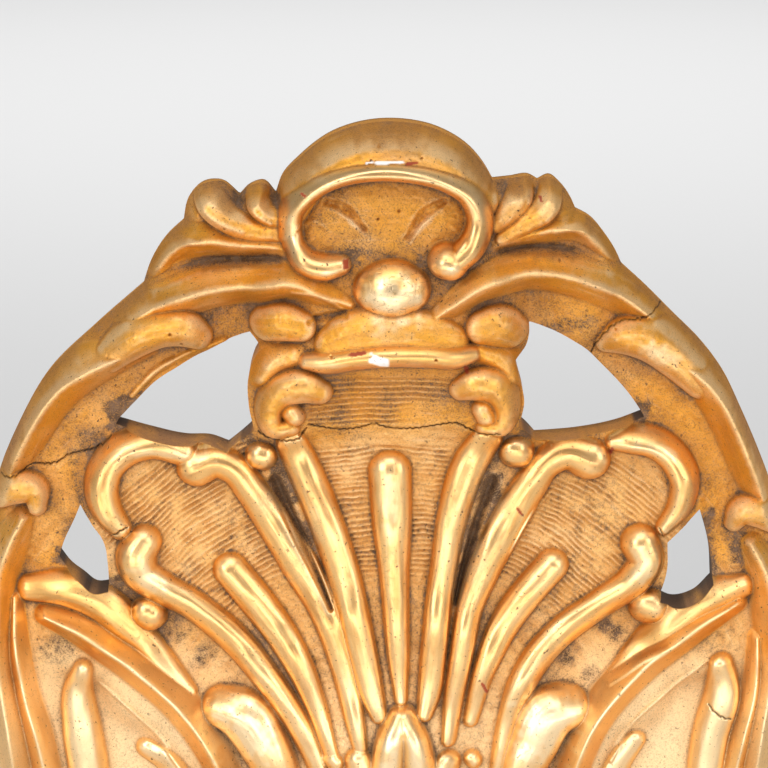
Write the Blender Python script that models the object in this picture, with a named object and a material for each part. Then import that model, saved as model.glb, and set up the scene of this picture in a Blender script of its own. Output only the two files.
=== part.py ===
"""Carved and pierced giltwood cresting with a scallop shell, in one piece of limewood.

The crest is drawn front-on in divisions of UNIT, u to the right and v down, as it is seen from a
point EYE in front of its flat back and TILT above level. Every control point of the drawing is
carried to the plan of the crest (x across, z up) at the depth at which the carving stands there.
The front is one relief surface: a broad form, blended between a few depths, plus the raised rolls,
tongues, leaves and bulbs, each swept along its own centre line, minus the cut lines.
"""
import math

import bmesh
import bpy
import numpy as np
from mathutils import Vector
from mathutils.geometry import delaunay_2d_cdt

# The drawing
UNIT = 0.0004
EYE = 1.55
TILT = math.radians(12.0)
FRAME_MID = 384.0
CENTRE_LINE = 388.0
ORIGIN_V = 560.0
MIRROR = 2.0 * CENTRE_LINE

# Sizes in metres: the tables give depths and rises as multiples of MM
MM = 0.001
ARCH_EDGE = 0.009
ARCH_BODY = 0.020
CROWN_FIELD = 0.035
BROW_BODY = 0.039
SHELL_EDGE = 0.020
SHELL_GROUND = 0.017
SHELL_HEART = 0.025
LOWER_GROUND = 0.013

# Spacing of the facets in metres
EDGE_STEP = 0.0048
STROKE_STEP = 0.0050
RING_STEP = 0.0036
CURVE_STEP = 0.003
FIELD_STEP = 0.0066
CLEARANCE = 0.0012
EDGE_CLEARANCE = 0.0014
SUNK = 0.0012

# Broad form of the left half: (u, v, body it belongs to, mm above that body, reach in divisions);
# the right half mirrors it
BROAD = (
    (388, 112, ARCH_EDGE, 8, 20), (350, 118, ARCH_EDGE, 8, 20), (312, 138, ARCH_EDGE, 8, 20),
    (285, 165, ARCH_EDGE, 9, 18), (388, 165, CROWN_FIELD, 1, 22), (340, 175, CROWN_FIELD, 1, 22),
    (305, 200, CROWN_FIELD, -1, 20), (388, 225, CROWN_FIELD, 0, 32),
    (340, 230, CROWN_FIELD, 0, 28), (388, 290, CROWN_FIELD, 2, 30),
    (335, 300, CROWN_FIELD, -1, 26),
    (388, 345, BROW_BODY, 0, 28), (330, 350, BROW_BODY, -1, 24), (388, 400, BROW_BODY, -9, 26),
    (345, 400, BROW_BODY, -9, 24), (290, 405, BROW_BODY, -7, 24), (258, 400, BROW_BODY, -15, 18),
    (285, 325, BROW_BODY, -11, 20),
    (212, 185, ARCH_EDGE, 5, 20), (255, 190, ARCH_EDGE, 7, 18), (240, 235, ARCH_BODY, 3, 20),
    (275, 215, ARCH_BODY, 6, 18), (165, 245, ARCH_EDGE, 2, 18), (200, 250, ARCH_BODY, -2, 18),
    (140, 285, ARCH_EDGE, 1, 20), (90, 330, ARCH_EDGE, 0, 22), (40, 378, ARCH_EDGE, 0, 24),
    (5, 440, ARCH_EDGE, 0, 24), (-15, 520, ARCH_EDGE, 0, 28), (-18, 600, ARCH_EDGE, 0, 30),
    (-17, 690, ARCH_EDGE, 0, 30), (-12, 790, ARCH_EDGE, 1, 30),
    (190, 298, ARCH_BODY, 4, 22), (140, 325, ARCH_BODY, 2, 20), (95, 362, ARCH_BODY, 1, 20),
    (55, 405, ARCH_BODY, 0, 20), (30, 455, ARCH_BODY, -1, 20), (20, 520, ARCH_BODY, -3, 22),
    (235, 322, ARCH_BODY, -2, 18), (165, 365, ARCH_BODY, -5, 18), (118, 400, ARCH_BODY, -6, 20),
    (80, 440, ARCH_BODY, -6, 20), (58, 490, ARCH_BODY, -6, 20), (52, 545, ARCH_BODY, -7, 20),
    (388, 470, SHELL_HEART, -1, 32), (388, 560, SHELL_HEART, 0, 34),
    (388, 650, SHELL_HEART, 2, 34), (388, 740, SHELL_HEART, 6, 34),
    (320, 470, SHELL_HEART, -4, 26), (320, 560, SHELL_HEART, -4, 24),
    (345, 660, SHELL_HEART, 0, 24), (388, 800, SHELL_HEART, 5, 34),
    (190, 500, SHELL_GROUND, 0, 30), (230, 530, SHELL_GROUND, 0, 30),
    (180, 570, SHELL_GROUND, 1, 26), (240, 610, SHELL_GROUND, 2, 28),
    (300, 690, SHELL_GROUND, 6, 28), (255, 470, SHELL_EDGE, -1, 22),
    (140, 470, SHELL_EDGE, 0, 24), (105, 500, SHELL_EDGE, 0, 22), (130, 555, SHELL_EDGE, -1, 22),
    (90, 610, LOWER_GROUND, 2, 22), (150, 625, LOWER_GROUND, -1, 24),
    (190, 650, LOWER_GROUND, 1, 24), (90, 640, LOWER_GROUND, 8, 20),
    (150, 690, LOWER_GROUND, 8, 20), (200, 740, LOWER_GROUND, 8, 20),
    (70, 720, LOWER_GROUND, 0, 24), (130, 770, LOWER_GROUND, 0, 24),
    (240, 720, LOWER_GROUND, 5, 22), (290, 770, LOWER_GROUND, 9, 26),
    (20, 640, LOWER_GROUND, 4, 22), (30, 720, LOWER_GROUND, 4, 24),
    (60, 800, LOWER_GROUND, 2, 26), (220, 800, LOWER_GROUND, 5, 28),
)

# Raised carving: (profile, ((u, v, half width in divisions, rise in mm), ...)).
# "roll" is half round, "soft" a bell, "ridge" an arris between two hollow flanks.
CROWN = (
    ("roll", ((289, 238, 12, 8), (291, 214, 13, 11), (306, 197, 12, 13), (334, 181, 12, 14),
              (370, 174, 12, 15), (408, 175, 12, 15), (446, 184, 12, 14), (471, 199, 13, 13),
              (481, 224, 14, 12), (474, 248, 15, 12), (460, 262, 15, 12))),
    ("roll", ((289, 230, 12, 8), (294, 250, 12, 9), (306, 266, 14, 10), (324, 271, 14, 10),
              (340, 268, 11, 8))),
    ("roll", ((292, 214, 14, 5), (306, 182, 22, 9), (345, 157, 28, 12), (388, 150, 31, 13),
              (432, 155, 28, 12), (468, 176, 22, 9), (486, 206, 14, 5))),
    ("roll", ((378, 293, 25, 9), (392, 293, 30, 11), (406, 293, 25, 9))),
    ("roll", ((447, 266, 19, 13), (451, 267, 19, 13))),
)
LEAVES = (
    ("roll", ((282, 236, 8, 3), (250, 232, 12, 7), (226, 222, 14, 10), (207, 203, 15, 12),
              (203, 192, 12, 9))),
    ("roll", ((284, 224, 7, 3), (268, 218, 11, 6), (256, 204, 12, 9), (260, 190, 10, 8))),
    ("ridge", ((285, 250, 10, 3), (240, 246, 14, 6), (200, 243, 18, 8), (172, 250, 17, 8),
               (152, 272, 9, 5))),
    ("roll", ((498, 226, 9, 4), (510, 214, 13, 8), (521, 198, 14, 10), (522, 184, 9, 8))),
    ("roll", ((504, 240, 9, 4), (528, 224, 13, 8), (549, 206, 14, 11), (552, 187, 10, 8))),
    ("ridge", ((500, 246, 9, 3), (545, 232, 14, 6), (582, 231, 15, 8), (602, 244, 13, 7),
               (616, 260, 7, 4))),
    ("ridge", ((506, 205, 8, 2), (490, 200, 9, 2))),
)
ARCH_LEFT = (
    ("ridge", ((350, 306, 7, 3), (322, 296, 14, 7), (290, 286, 20, 11), (250, 288, 23, 13),
               (205, 293, 24, 13), (160, 306, 23, 12), (126, 326, 16, 8))),
    ("roll", ((196, 339, 16, 8), (184, 334, 21, 11), (160, 333, 22, 13), (134, 343, 22, 14),
              (108, 361, 17, 11))),
    ("ridge", ((150, 350, 10, 5), (118, 360, 18, 12), (88, 373, 23, 15), (58, 392, 25, 16),
               (34, 420, 26, 16), (18, 448, 24, 15), (8, 474, 17, 10))),
    ("roll", ((-12, 498, 18, 10), (12, 492, 19, 13), (32, 494, 15, 12), (36, 510, 10, 9))),
    ("ridge", ((22, 520, 12, 6), (8, 548, 20, 12), (-2, 580, 22, 14), (-4, 620, 22, 14),
               (-2, 680, 20, 13), (8, 740, 18, 12), (18, 812, 18, 12))),
    ("soft", ((224, 340, 5, 2), (190, 353, 6, 2), (155, 372, 6, 2), (132, 396, 5, 1.5))),
    ("roll", ((266, 327, 18, 9), (284, 326, 20, 10), (300, 329, 16, 8))),
)
ARCH_RIGHT = (
    ("ridge", ((430, 322, 7, 3), (452, 308, 13, 7), (482, 290, 19, 11), (520, 276, 22, 13),
               (560, 276, 23, 13), (602, 288, 23, 13), (640, 309, 18, 10), (662, 326, 9, 4))),
    ("roll", ((607, 345, 11, 6), (626, 341, 20, 11), (652, 345, 24, 14), (680, 362, 24, 14),
              (702, 386, 18, 11))),
    ("ridge", ((640, 352, 10, 4), (672, 360, 18, 11), (702, 380, 23, 15), (724, 404, 25, 16),
               (742, 436, 26, 16), (756, 470, 25, 15), (764, 500, 18, 10))),
    ("roll", ((735, 526, 10, 8), (744, 516, 15, 12), (762, 516, 18, 12), (780, 524, 16, 8))),
    ("ridge", ((752, 546, 12, 6), (766, 574, 20, 12), (774, 620, 22, 14), (772, 680, 20, 13),
               (762, 740, 18, 12), (752, 812, 18, 12))),
    ("roll", ((484, 331, 18, 9), (500, 330, 22, 10), (512, 334, 18, 9))),
)
NECK = (
    ("roll", ((334, 347, 20, 5), (352, 341, 26, 7), (388, 339, 29, 7), (428, 341, 26, 7),
              (450, 346, 20, 5))),
    ("roll", ((306, 364, 9, 6), (326, 366, 13, 8), (352, 362, 14, 10), (388, 359, 14, 11),
              (428, 359, 14, 10), (456, 360, 13, 8), (475, 355, 9, 6))),
    ("roll", ((320, 395, 13, 7), (302, 391, 18, 10), (281, 395, 18, 11), (268, 412, 15, 10),
              (274, 432, 12, 8), (290, 431, 10, 6))),
    ("roll", ((290, 415, 11, 8), (294, 420, 11, 8))),
    ("roll", ((461, 392, 12, 6), (476, 389, 17, 10), (496, 391, 19, 11), (507, 410, 15, 10),
              (500, 430, 12, 8), (486, 430, 10, 6))),
    ("roll", ((484, 412, 12, 8), (488, 420, 12, 8))),
    ("soft", ((292, 357, 17, 5), (272, 364, 22, 7), (262, 380, 18, 7))),
    ("soft", ((482, 352, 17, 5), (504, 362, 22, 7), (514, 380, 16, 7))),
)
SHELL_LEFT = (
    ("roll", ((184, 456, 15, 8), (152, 447, 17, 9), (125, 453, 18, 9), (106, 470, 18, 9),
              (100, 495, 18, 9), (106, 515, 16, 8), (120, 532, 12, 6))),
    ("roll", ((196, 471, 21, 9), (214, 465, 18, 9), (234, 473, 17, 8), (252, 496, 17, 8),
              (272, 526, 18, 8), (302, 574, 19, 8), (327, 620, 16, 7), (342, 668, 13, 6),
              (354, 720, 11, 5), (360, 750, 8, 4))),
    ("roll", ((143, 546, 18, 9), (135, 560, 21, 10), (139, 577, 20, 9), (156, 590, 19, 8),
              (190, 608, 17, 8), (232, 642, 17, 8), (272, 690, 15, 7), (302, 736, 13, 6),
              (322, 782, 9, 4))),
    ("roll", ((230, 573, 18, 7), (262, 612, 18, 7), (293, 658, 16, 7), (314, 704, 12, 6),
              (332, 760, 8, 4))),
    ("roll", ((259, 459, 15, 8), (262, 460, 15, 8))),
    ("roll", ((146, 617, 18, 10), (149, 619, 18, 10))),
)
SHELL_MID = (
    ("roll", ((292, 448, 17, 6), (306, 478, 18, 8), (326, 526, 18, 8), (341, 571, 18, 8),
              (352, 614, 17, 8), (362, 658, 16, 7), (372, 698, 13, 6), (379, 718, 9, 4))),
    ("roll", ((390, 476, 22, 9), (392, 530, 20, 9), (394, 572, 16, 8), (396, 614, 14, 8),
              (398, 656, 12, 7), (401, 702, 7, 5))),
    ("roll", ((487, 442, 17, 6), (470, 468, 18, 8), (452, 524, 16, 8), (444, 571, 14, 8),
              (438, 614, 14, 8), (434, 656, 14, 7), (429, 700, 12, 6), (425, 716, 9, 5))),
)
SHELL_RIGHT = (
    ("roll", ((614, 444, 9, 5), (634, 443, 15, 8), (654, 446, 16, 9), (674, 460, 16, 9),
              (686, 484, 16, 9), (682, 508, 14, 8), (665, 530, 9, 6))),
    ("roll", ((590, 463, 22, 9), (570, 456, 19, 9), (548, 466, 17, 8), (530, 490, 18, 8),
              (506, 530, 19, 8), (486, 572, 17, 8), (470, 614, 14, 8), (462, 656, 13, 7),
              (454, 700, 11, 6), (449, 742, 8, 4))),
    ("roll", ((641, 548, 20, 10), (647, 564, 19, 10), (634, 586, 18, 9), (604, 606, 17, 8),
              (562, 636, 17, 8), (526, 682, 16, 8), (507, 732, 12, 6), (497, 778, 9, 4))),
    ("roll", ((553, 569, 17, 8), (527, 598, 17, 8), (504, 630, 16, 7), (485, 672, 12, 6),
              (471, 722, 8, 4))),
    ("roll", ((516, 456, 17, 9), (519, 456, 17, 9))),
    ("roll", ((648, 611, 19, 10), (651, 611, 19, 10))),
)
LOWER_LEFT = (
    ("roll", ((28, 590, 14, 6), (64, 592, 19, 8), (100, 606, 20, 8), (134, 634, 17, 7),
              (166, 666, 12, 5), (190, 692, 8, 3))),
    ("ridge", ((44, 618, 13, 7), (78, 634, 19, 10), (118, 660, 21, 12), (158, 692, 21, 12),
               (192, 728, 21, 12), (218, 770, 20, 12), (234, 812, 20, 11))),
    ("ridge", ((14, 598, 11, 6), (14, 640, 15, 9), (22, 690, 16, 10), (36, 740, 17, 10),
               (52, 812, 17, 10))),
    ("roll", ((82, 672, 10, 6), (77, 696, 16, 9), (80, 730, 20, 10), (86, 768, 21, 10),
              (94, 812, 18, 9))),
    ("roll", ((146, 750, 11, 5), (168, 766, 14, 6), (188, 812, 14, 5))),
    ("roll", ((222, 712, 22, 9), (240, 720, 28, 12), (262, 750, 27, 12), (282, 790, 21, 10),
              (290, 812, 18, 9))),
)
LOWER_RIGHT = (
    ("roll", ((744, 588, 13, 6), (712, 600, 18, 8), (676, 622, 19, 8), (642, 650, 15, 6),
              (614, 678, 9, 3))),
    ("ridge", ((738, 604, 13, 7), (704, 626, 19, 11), (664, 654, 21, 12), (626, 688, 21, 12),
               (596, 726, 21, 12), (576, 770, 20, 12), (564, 812, 20, 11))),
    ("ridge", ((758, 640, 12, 6), (756, 690, 15, 9), (744, 740, 16, 9), (728, 812, 16, 9))),
    ("roll", ((722, 668, 13, 7), (724, 694, 18, 9), (712, 740, 19, 9), (702, 812, 18, 8))),
    ("roll", ((636, 742, 11, 5), (618, 768, 14, 6), (608, 812, 14, 5))),
    ("roll", ((570, 712, 22, 9), (553, 718, 28, 12), (534, 750, 27, 12), (518, 790, 21, 10),
              (510, 812, 18, 9))),
)
BOSS = (
    ("roll", ((400, 722, 13, 8), (393, 742, 16, 11), (387, 778, 18, 11), (381, 812, 18, 11))),
    ("roll", ((404, 722, 13, 8), (414, 744, 15, 11), (420, 778, 18, 11), (425, 812, 18, 11))),
    ("roll", ((358, 764, 14, 6), (366, 790, 17, 7), (372, 812, 17, 7))),
    ("roll", ((448, 766, 14, 6), (438, 790, 17, 7), (432, 812, 17, 7))),
    ("roll", ((331, 762, 10, 5), (334, 765, 10, 5))),
    ("roll", ((472, 760, 9, 5), (474, 763, 9, 5))),
)
RAISED = (CROWN + LEAVES + ARCH_LEFT + ARCH_RIGHT + NECK + SHELL_LEFT + SHELL_MID + SHELL_RIGHT
          + LOWER_LEFT + LOWER_RIGHT + BOSS)

# Cut lines: ((u, v, half width in divisions, depth in mm), ...)
CUTS = (
    ((326, 202, 5, 3), (344, 208, 7, 3), (364, 230, 5, 3)),
    ((444, 202, 5, 3), (426, 212, 8, 3), (408, 238, 5, 3)),
    ((275, 480, 9, 5), (298, 530, 8, 5), (317, 572, 5, 5), (331, 606, 3, 5)),
    ((492, 482, 10, 5), (478, 520, 8, 5), (464, 566, 5, 5), (455, 604, 3, 5)),
    ((152, 284, 6, 2), (200, 264, 8, 2), (278, 260, 7, 2)),
    ((500, 250, 7, 2), (548, 248, 8, 2), (614, 266, 6, 2)),
    ((310, 320, 5, 2), (330, 316, 6, 2), (345, 314, 5, 2)),
)

# Edges in plan: spans of control points (u, v, depth in mm at which the drawing shows the edge)
OUTER = (
    ((776, 812, 0), (-8, 812, 0)),
    ((-8, 812, 0), (-16, 700, 0), (-17, 600, 0), (-8, 520, 0), (0, 470, 0), (20, 420, 0),
     (50, 368, 0), (97, 322, 0), (144, 281, 0)),
    ((144, 281, 0), (151, 260, 0), (168, 233, 0), (184, 218, 0)),
    ((184, 218, 0), (189, 196, 0), (205, 180, 0), (222, 179, 0), (240, 193, 0)),
    ((240, 193, 0), (250, 183, 0), (264, 179, 0), (276, 191, 0)),
    ((276, 191, 0), (282, 174, 0), (300, 154, 0), (331, 131, 0), (370, 119, 0), (400, 118, 0),
     (435, 125, 0), (470, 146, 0), (484, 163, 0), (492, 177, 0)),
    ((492, 177, 0), (510, 175, 0), (528, 173, 0), (537, 178, 0)),
    ((537, 178, 0), (548, 173, 0), (560, 182, 0), (570, 196, 0), (575, 207, 0)),
    ((575, 207, 0), (588, 214, 0), (604, 232, 0), (615, 249, 0), (621, 262, 0)),
    ((621, 262, 0), (645, 284, 0), (672, 311, 0), (700, 339, 0), (721, 367, 0), (740, 406, 0),
     (757, 446, 0), (768, 476, 0), (779, 525, 0), (786, 590, 0), (787, 690, 0), (776, 812, 0)),
)
HOLES = (
    (((250, 331, 20), (232, 337, 18), (205, 350, 16), (180, 365, 15), (155, 381, 14),
      (136, 399, 11), (118, 416, 6)),
     ((118, 416, 0), (150, 425, 0), (187, 433, 0), (212, 434, 0), (229, 440, 0)),
     ((229, 440, 0), (244, 428, 0), (256, 419, 4)),
     ((256, 419, 4), (250, 398, 12), (249, 374, 16), (254, 357, 20), (260, 345, 20),
      (250, 331, 20))),
    (((529, 321, 20), (552, 329, 18), (578, 342, 16), (604, 366, 15), (627, 390, 12),
      (642, 409, 4)),
     ((642, 409, 0), (618, 418, 0), (580, 426, 0), (550, 429, 0), (534, 430, 0)),
     ((534, 430, 0), (526, 422, 2), (517, 416, 6)),
     ((517, 416, 6), (523, 394, 12), (518, 372, 18), (514, 355, 20)),
     ((514, 355, 20), (525, 346, 20), (529, 334, 20), (529, 321, 20))),
    (((82, 499, 8), (75, 516, 8), (66, 535, 6), (61, 550, 3)),
     ((61, 550, 3), (72, 561, 0), (84, 570, 0), (98, 580, 0), (112, 579, 0)),
     ((112, 579, 0), (109, 560, 12), (104, 540, 16), (93, 522, 14), (82, 499, 8))),
    (((698, 504, 8), (703, 520, 8), (709, 545, 6), (710, 574, 2)),
     ((710, 574, 2), (692, 589, 0), (670, 594, 0), (656, 588, 0)),
     ((656, 588, 0), (666, 566, 12), (667, 541, 16)),
     ((667, 541, 16), (681, 526, 14), (698, 504, 8))),
)

GOLD = (0.83, 0.53, 0.17, 1.0)
GOLD_ROUGHNESS = 0.36
GOLD_METALLIC = 0.9

ORIGIN_Z = (FRAME_MID - ORIGIN_V) * UNIT / math.cos(TILT)


def place(u, v, depth):
    """Plan point (x, z) of the mark drawn at (u, v) when it stands this far in front of the back."""
    a = (u - FRAME_MID) * UNIT
    b = (FRAME_MID - v) * UNIT
    k = (EYE * math.cos(TILT) - depth) / (EYE * math.cos(TILT) + b * math.sin(TILT))
    x = (FRAME_MID - CENTRE_LINE) * UNIT + k * a
    z = EYE * math.sin(TILT) + k * (b * math.cos(TILT) - EYE * math.sin(TILT)) - ORIGIN_Z
    return x, z


def broad_table():
    """Plan point, depth and reach of every blended depth, both halves."""
    rows = []
    for u, v, body, more, reach in BROAD:
        for side in (u, MIRROR - u):
            depth = body + more * MM
            x, z = place(side, v, depth)
            rows.append((x, z, depth, reach * UNIT))
            if u == CENTRE_LINE:
                break
    return np.array(rows)


BROAD_TABLE = broad_table()


def broad(x, z):
    """Broad form: the mean of the blended depths, weighted by a bell of the distance to each."""
    total = np.full(x.shape, 1e-12)
    mean = np.full(x.shape, ARCH_BODY * 1e-12)
    for bx, bz, depth, reach in BROAD_TABLE:
        weight = np.exp(-0.5 * ((x - bx) ** 2 + (z - bz) ** 2) / reach ** 2)
        total += weight
        mean += weight * depth
    return mean / total


def stand(u, v, rise):
    """Plan point of a mark that stands its rise above the broad form under it."""
    depth = ARCH_BODY + rise
    for _ in range(5):
        x, z = place(u, v, depth)
        depth = float(broad(np.array([x]), np.array([z]))[0]) + rise
    return place(u, v, depth)


def spline(points, step):
    """Smooth curve through the points, column by column, read about one step apart."""
    pts = np.asarray(points, dtype=float)
    gaps = np.hypot(np.diff(pts[:, 0]), np.diff(pts[:, 1]))
    knots = np.concatenate([[0.0], np.cumsum(np.maximum(gaps, 1e-6))])
    slope = np.gradient(pts, knots, axis=0) if len(pts) > 2 else np.tile(
        (pts[-1] - pts[0]) / knots[-1], (len(pts), 1))
    count = max(2, int(round(knots[-1] / step)) + 1)
    s = np.linspace(0.0, knots[-1], count)
    i = np.clip(np.searchsorted(knots, s, side="right") - 1, 0, len(pts) - 2)
    h = (knots[i + 1] - knots[i])[:, None]
    t = ((s - knots[i])[:, None]) / h
    h00 = 2 * t ** 3 - 3 * t ** 2 + 1
    h10 = t ** 3 - 2 * t ** 2 + t
    h01 = -2 * t ** 3 + 3 * t ** 2
    h11 = t ** 3 - t ** 2
    return h00 * pts[i] + h10 * h * slope[i] + h01 * pts[i + 1] + h11 * h * slope[i + 1]


PROFILE_ROWS = {
    "roll": (-1.0, -0.62, 0.0, 0.62, 1.0),
    "soft": (-0.9, 0.0, 0.9),
    "ridge": (-1.0, -0.5, 0.0, 0.5, 1.0),
    "cut": (-1.0, 0.0, 1.0),
}


def profile(kind, t):
    """Share of the rise at t half widths from the centre line."""
    t = np.clip(np.abs(t), 0.0, 1.0)
    if kind == "roll":
        return np.sqrt(1.0 - t * t)
    if kind == "ridge":
        return (1.0 - t) ** 1.15
    return 0.5 + 0.5 * np.cos(math.pi * t)


def centre_line(rows, step):
    """Centre line of a stroke in plan: columns x, z, half width and rise."""
    table = []
    for u, v, half, rise in rows:
        x, z = stand(u, v, rise * MM)
        table.append((x, z, half * UNIT, rise * MM))
    line = spline(table, step)
    line[:, 2] = np.maximum(line[:, 2], UNIT)
    return line


def lift(line, kind, x, z):
    """Rise of one stroke at the plan points, nought outside it."""
    out = np.zeros(x.shape)
    reach = line[:, 2].max()
    near = ((x > line[:, 0].min() - reach) & (x < line[:, 0].max() + reach)
            & (z > line[:, 1].min() - reach) & (z < line[:, 1].max() + reach))
    idx = np.nonzero(near)[0]
    if len(idx) == 0:
        return out
    px = x[idx][:, None]
    pz = z[idx][:, None]
    ax, az = line[:-1, 0], line[:-1, 1]
    dx, dz = np.diff(line[:, 0]), np.diff(line[:, 1])
    span = np.maximum(dx * dx + dz * dz, 1e-12)
    f = np.clip(((px - ax) * dx + (pz - az) * dz) / span, 0.0, 1.0)
    dist = np.hypot(px - (ax + f * dx), pz - (az + f * dz))
    half = line[:-1, 2] + f * np.diff(line[:, 2])
    rise = line[:-1, 3] + f * np.diff(line[:, 3])
    out[idx] = (rise * profile(kind, dist / half)).max(axis=1)
    return out


STROKES = [(kind, centre_line(rows, CURVE_STEP)) for kind, rows in RAISED]
GROOVES = [centre_line([(u, v, half, 0.0) for u, v, half, _ in rows], CURVE_STEP) for rows in CUTS]
GROOVE_DEPTHS = [max(row[3] for row in rows) * MM for rows in CUTS]


def depth_at(x, z, skip=-1):
    """Depth of the carved front in front of the back plane."""
    top = np.zeros(x.shape)
    for n, (kind, line) in enumerate(STROKES):
        if n != skip:
            top = np.maximum(top, lift(line, kind, x, z))
    deep = np.zeros(x.shape)
    for line, cut in zip(GROOVES, GROOVE_DEPTHS):
        marked = line.copy()
        marked[:, 3] = cut
        deep = np.maximum(deep, lift(marked, "cut", x, z))
    return broad(x, z) + top - deep


def edge_loop(spans, step):
    """Closed edge in plan through its spans, with a corner where two spans meet."""
    loop = []
    for span in spans:
        table = [place(u, v, depth * MM) for u, v, depth in span]
        curve = spline(table, step)
        loop.extend(curve[:-1].tolist())
    return np.array(loop)


def inside(loop, x, z):
    """True where a plan point lies inside the closed loop, by counting crossings."""
    hit = np.zeros(x.shape, dtype=bool)
    ax, az = loop[:, 0], loop[:, 1]
    bx, bz = np.roll(ax, -1), np.roll(az, -1)
    for x0, z0, x1, z1 in zip(ax, az, bx, bz):
        if z0 == z1:
            continue
        over = (z0 > z) != (z1 > z)
        hit ^= over & (x < (x1 - x0) * (z - z0) / (z1 - z0) + x0)
    return hit


def edge_distance(loops, x, z):
    """Distance of each plan point to the nearest edge."""
    best = np.full(x.shape, np.inf)
    for loop in loops:
        nxt = np.roll(loop, -1, axis=0)
        for (x0, z0), (x1, z1) in zip(loop, nxt):
            dx, dz = x1 - x0, z1 - z0
            f = np.clip(((x - x0) * dx + (z - z0) * dz) / (dx * dx + dz * dz), 0.0, 1.0)
            best = np.minimum(best, np.hypot(x - x0 - f * dx, z - z0 - f * dz))
    return best


def in_wood(loops, x, z):
    """True inside the outer edge and outside every opening."""
    good = inside(loops[0], x, z)
    for loop in loops[1:]:
        good &= ~inside(loop, x, z)
    return good


def round_ends(line, tangent, normal):
    """Half rings of points round both ends of a roll, with their rise."""
    runs = []
    for i, way in ((0, -1.0), (len(line) - 1, 1.0)):
        half = line[i, 2]
        for share in (0.62, 1.0):
            count = max(3, int(round(math.pi * share * half / RING_STEP)) + 1)
            turn = np.linspace(-math.pi / 2, math.pi / 2, count)[1:-1]
            at = (line[i, :2] + half * share * (np.outer(np.cos(turn) * way, tangent[i])
                                                + np.outer(np.sin(turn), normal[i])))
            rise = line[i, 3] * float(profile("roll", np.array([share]))[0])
            runs.append((at, np.full(len(at), rise)))
    return runs


def stroke_points(loops):
    """Points along the rows of every stroke, with the links between neighbours in a row."""
    points = []
    links = []
    marks = [(n, kind, line) for n, (kind, line) in enumerate(STROKES)]
    marks += [(-1, "cut", line) for line in GROOVES]
    for n, kind, fine in marks:
        length = np.hypot(np.diff(fine[:, 0]), np.diff(fine[:, 1])).sum()
        count = max(2, int(round(length / STROKE_STEP)) + 1)
        s = np.linspace(0, len(fine) - 1, count)
        line = np.stack([np.interp(s, np.arange(len(fine)), fine[:, c]) for c in range(4)], 1)
        tangent = np.gradient(line[:, :2], axis=0)
        tangent /= np.maximum(np.hypot(tangent[:, 0], tangent[:, 1]), 1e-9)[:, None]
        normal = np.stack([-tangent[:, 1], tangent[:, 0]], 1)
        order = sorted(PROFILE_ROWS[kind], key=abs)
        runs = []
        for row in order:
            at = line[:, :2] + normal * (line[:, 2] * row)[:, None]
            runs.append((at, line[:, 3] * profile(kind, np.full(len(line), row))))
        if kind == "roll":
            runs += round_ends(line, tangent, normal)
        for at, own in runs:
            others = np.zeros(len(at))
            for m, (other_kind, other) in enumerate(STROKES):
                if m != n:
                    others = np.maximum(others, lift(other, other_kind, at[:, 0], at[:, 1]))
            keep = others <= own + SUNK
            keep &= in_wood(loops, at[:, 0], at[:, 1])
            keep &= edge_distance(loops, at[:, 0], at[:, 1]) > EDGE_CLEARANCE
            last = -1
            for i in range(len(at)):
                if not keep[i]:
                    last = -1
                    continue
                points.append(at[i])
                here = len(points) - 1
                if last >= 0:
                    links.append((last, here))
                last = here
    return points, links


def thin_out(points, fixed, clearance):
    """Indices of the points kept when each keeps its clearance to those before it."""
    kept = []
    cells = {}
    size = clearance

    def neighbours(p):
        cx, cz = int(math.floor(p[0] / size)), int(math.floor(p[1] / size))
        for i in (-1, 0, 1):
            for j in (-1, 0, 1):
                for q in cells.get((cx + i, cz + j), ()):
                    yield q

    for p in fixed:
        cells.setdefault((int(math.floor(p[0] / size)), int(math.floor(p[1] / size))), []).append(p)
    for n, p in enumerate(points):
        if all(math.hypot(p[0] - q[0], p[1] - q[1]) >= clearance for q in neighbours(p)):
            kept.append(n)
            key = (int(math.floor(p[0] / size)), int(math.floor(p[1] / size)))
            cells.setdefault(key, []).append(p)
    return kept


def field_points(loops, taken, step, clearance):
    """Staggered points that fill the plain ground between the strokes."""
    low = loops[0].min(axis=0)
    high = loops[0].max(axis=0)
    rows = []
    z = low[1] + step * 0.5
    odd = False
    while z < high[1]:
        x = np.arange(low[0] + (step * 0.5 if odd else 0.0), high[0], step)
        rows.append(np.stack([x, np.full(len(x), z)], 1))
        z += step * 0.866
        odd = not odd
    grid = np.concatenate(rows)
    good = in_wood(loops, grid[:, 0], grid[:, 1])
    good &= edge_distance(loops, grid[:, 0], grid[:, 1]) > step * 0.45
    grid = grid[good]
    if len(taken):
        near = np.full(len(grid), np.inf)
        for p in taken:
            near = np.minimum(near, np.hypot(grid[:, 0] - p[0], grid[:, 1] - p[1]))
        grid = grid[near > clearance]
    return grid


def crossing_free(points, links):
    """Links that cross none of the links before them."""
    pts = np.asarray(points)
    kept = []
    a = np.zeros((0, 2))
    b = np.zeros((0, 2))

    def side(p, q, r):
        return (q[..., 0] - p[..., 0]) * (r[..., 1] - p[..., 1]) - (
            q[..., 1] - p[..., 1]) * (r[..., 0] - p[..., 0])

    for i, j in links:
        p, q = pts[i], pts[j]
        if len(kept):
            cross = (side(p, q, a) * side(p, q, b) < 0) & (side(a, b, p) * side(a, b, q) < 0)
            if cross.any():
                continue
        kept.append((i, j))
        a = np.concatenate([a, p[None]])
        b = np.concatenate([b, q[None]])
    return kept


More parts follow.
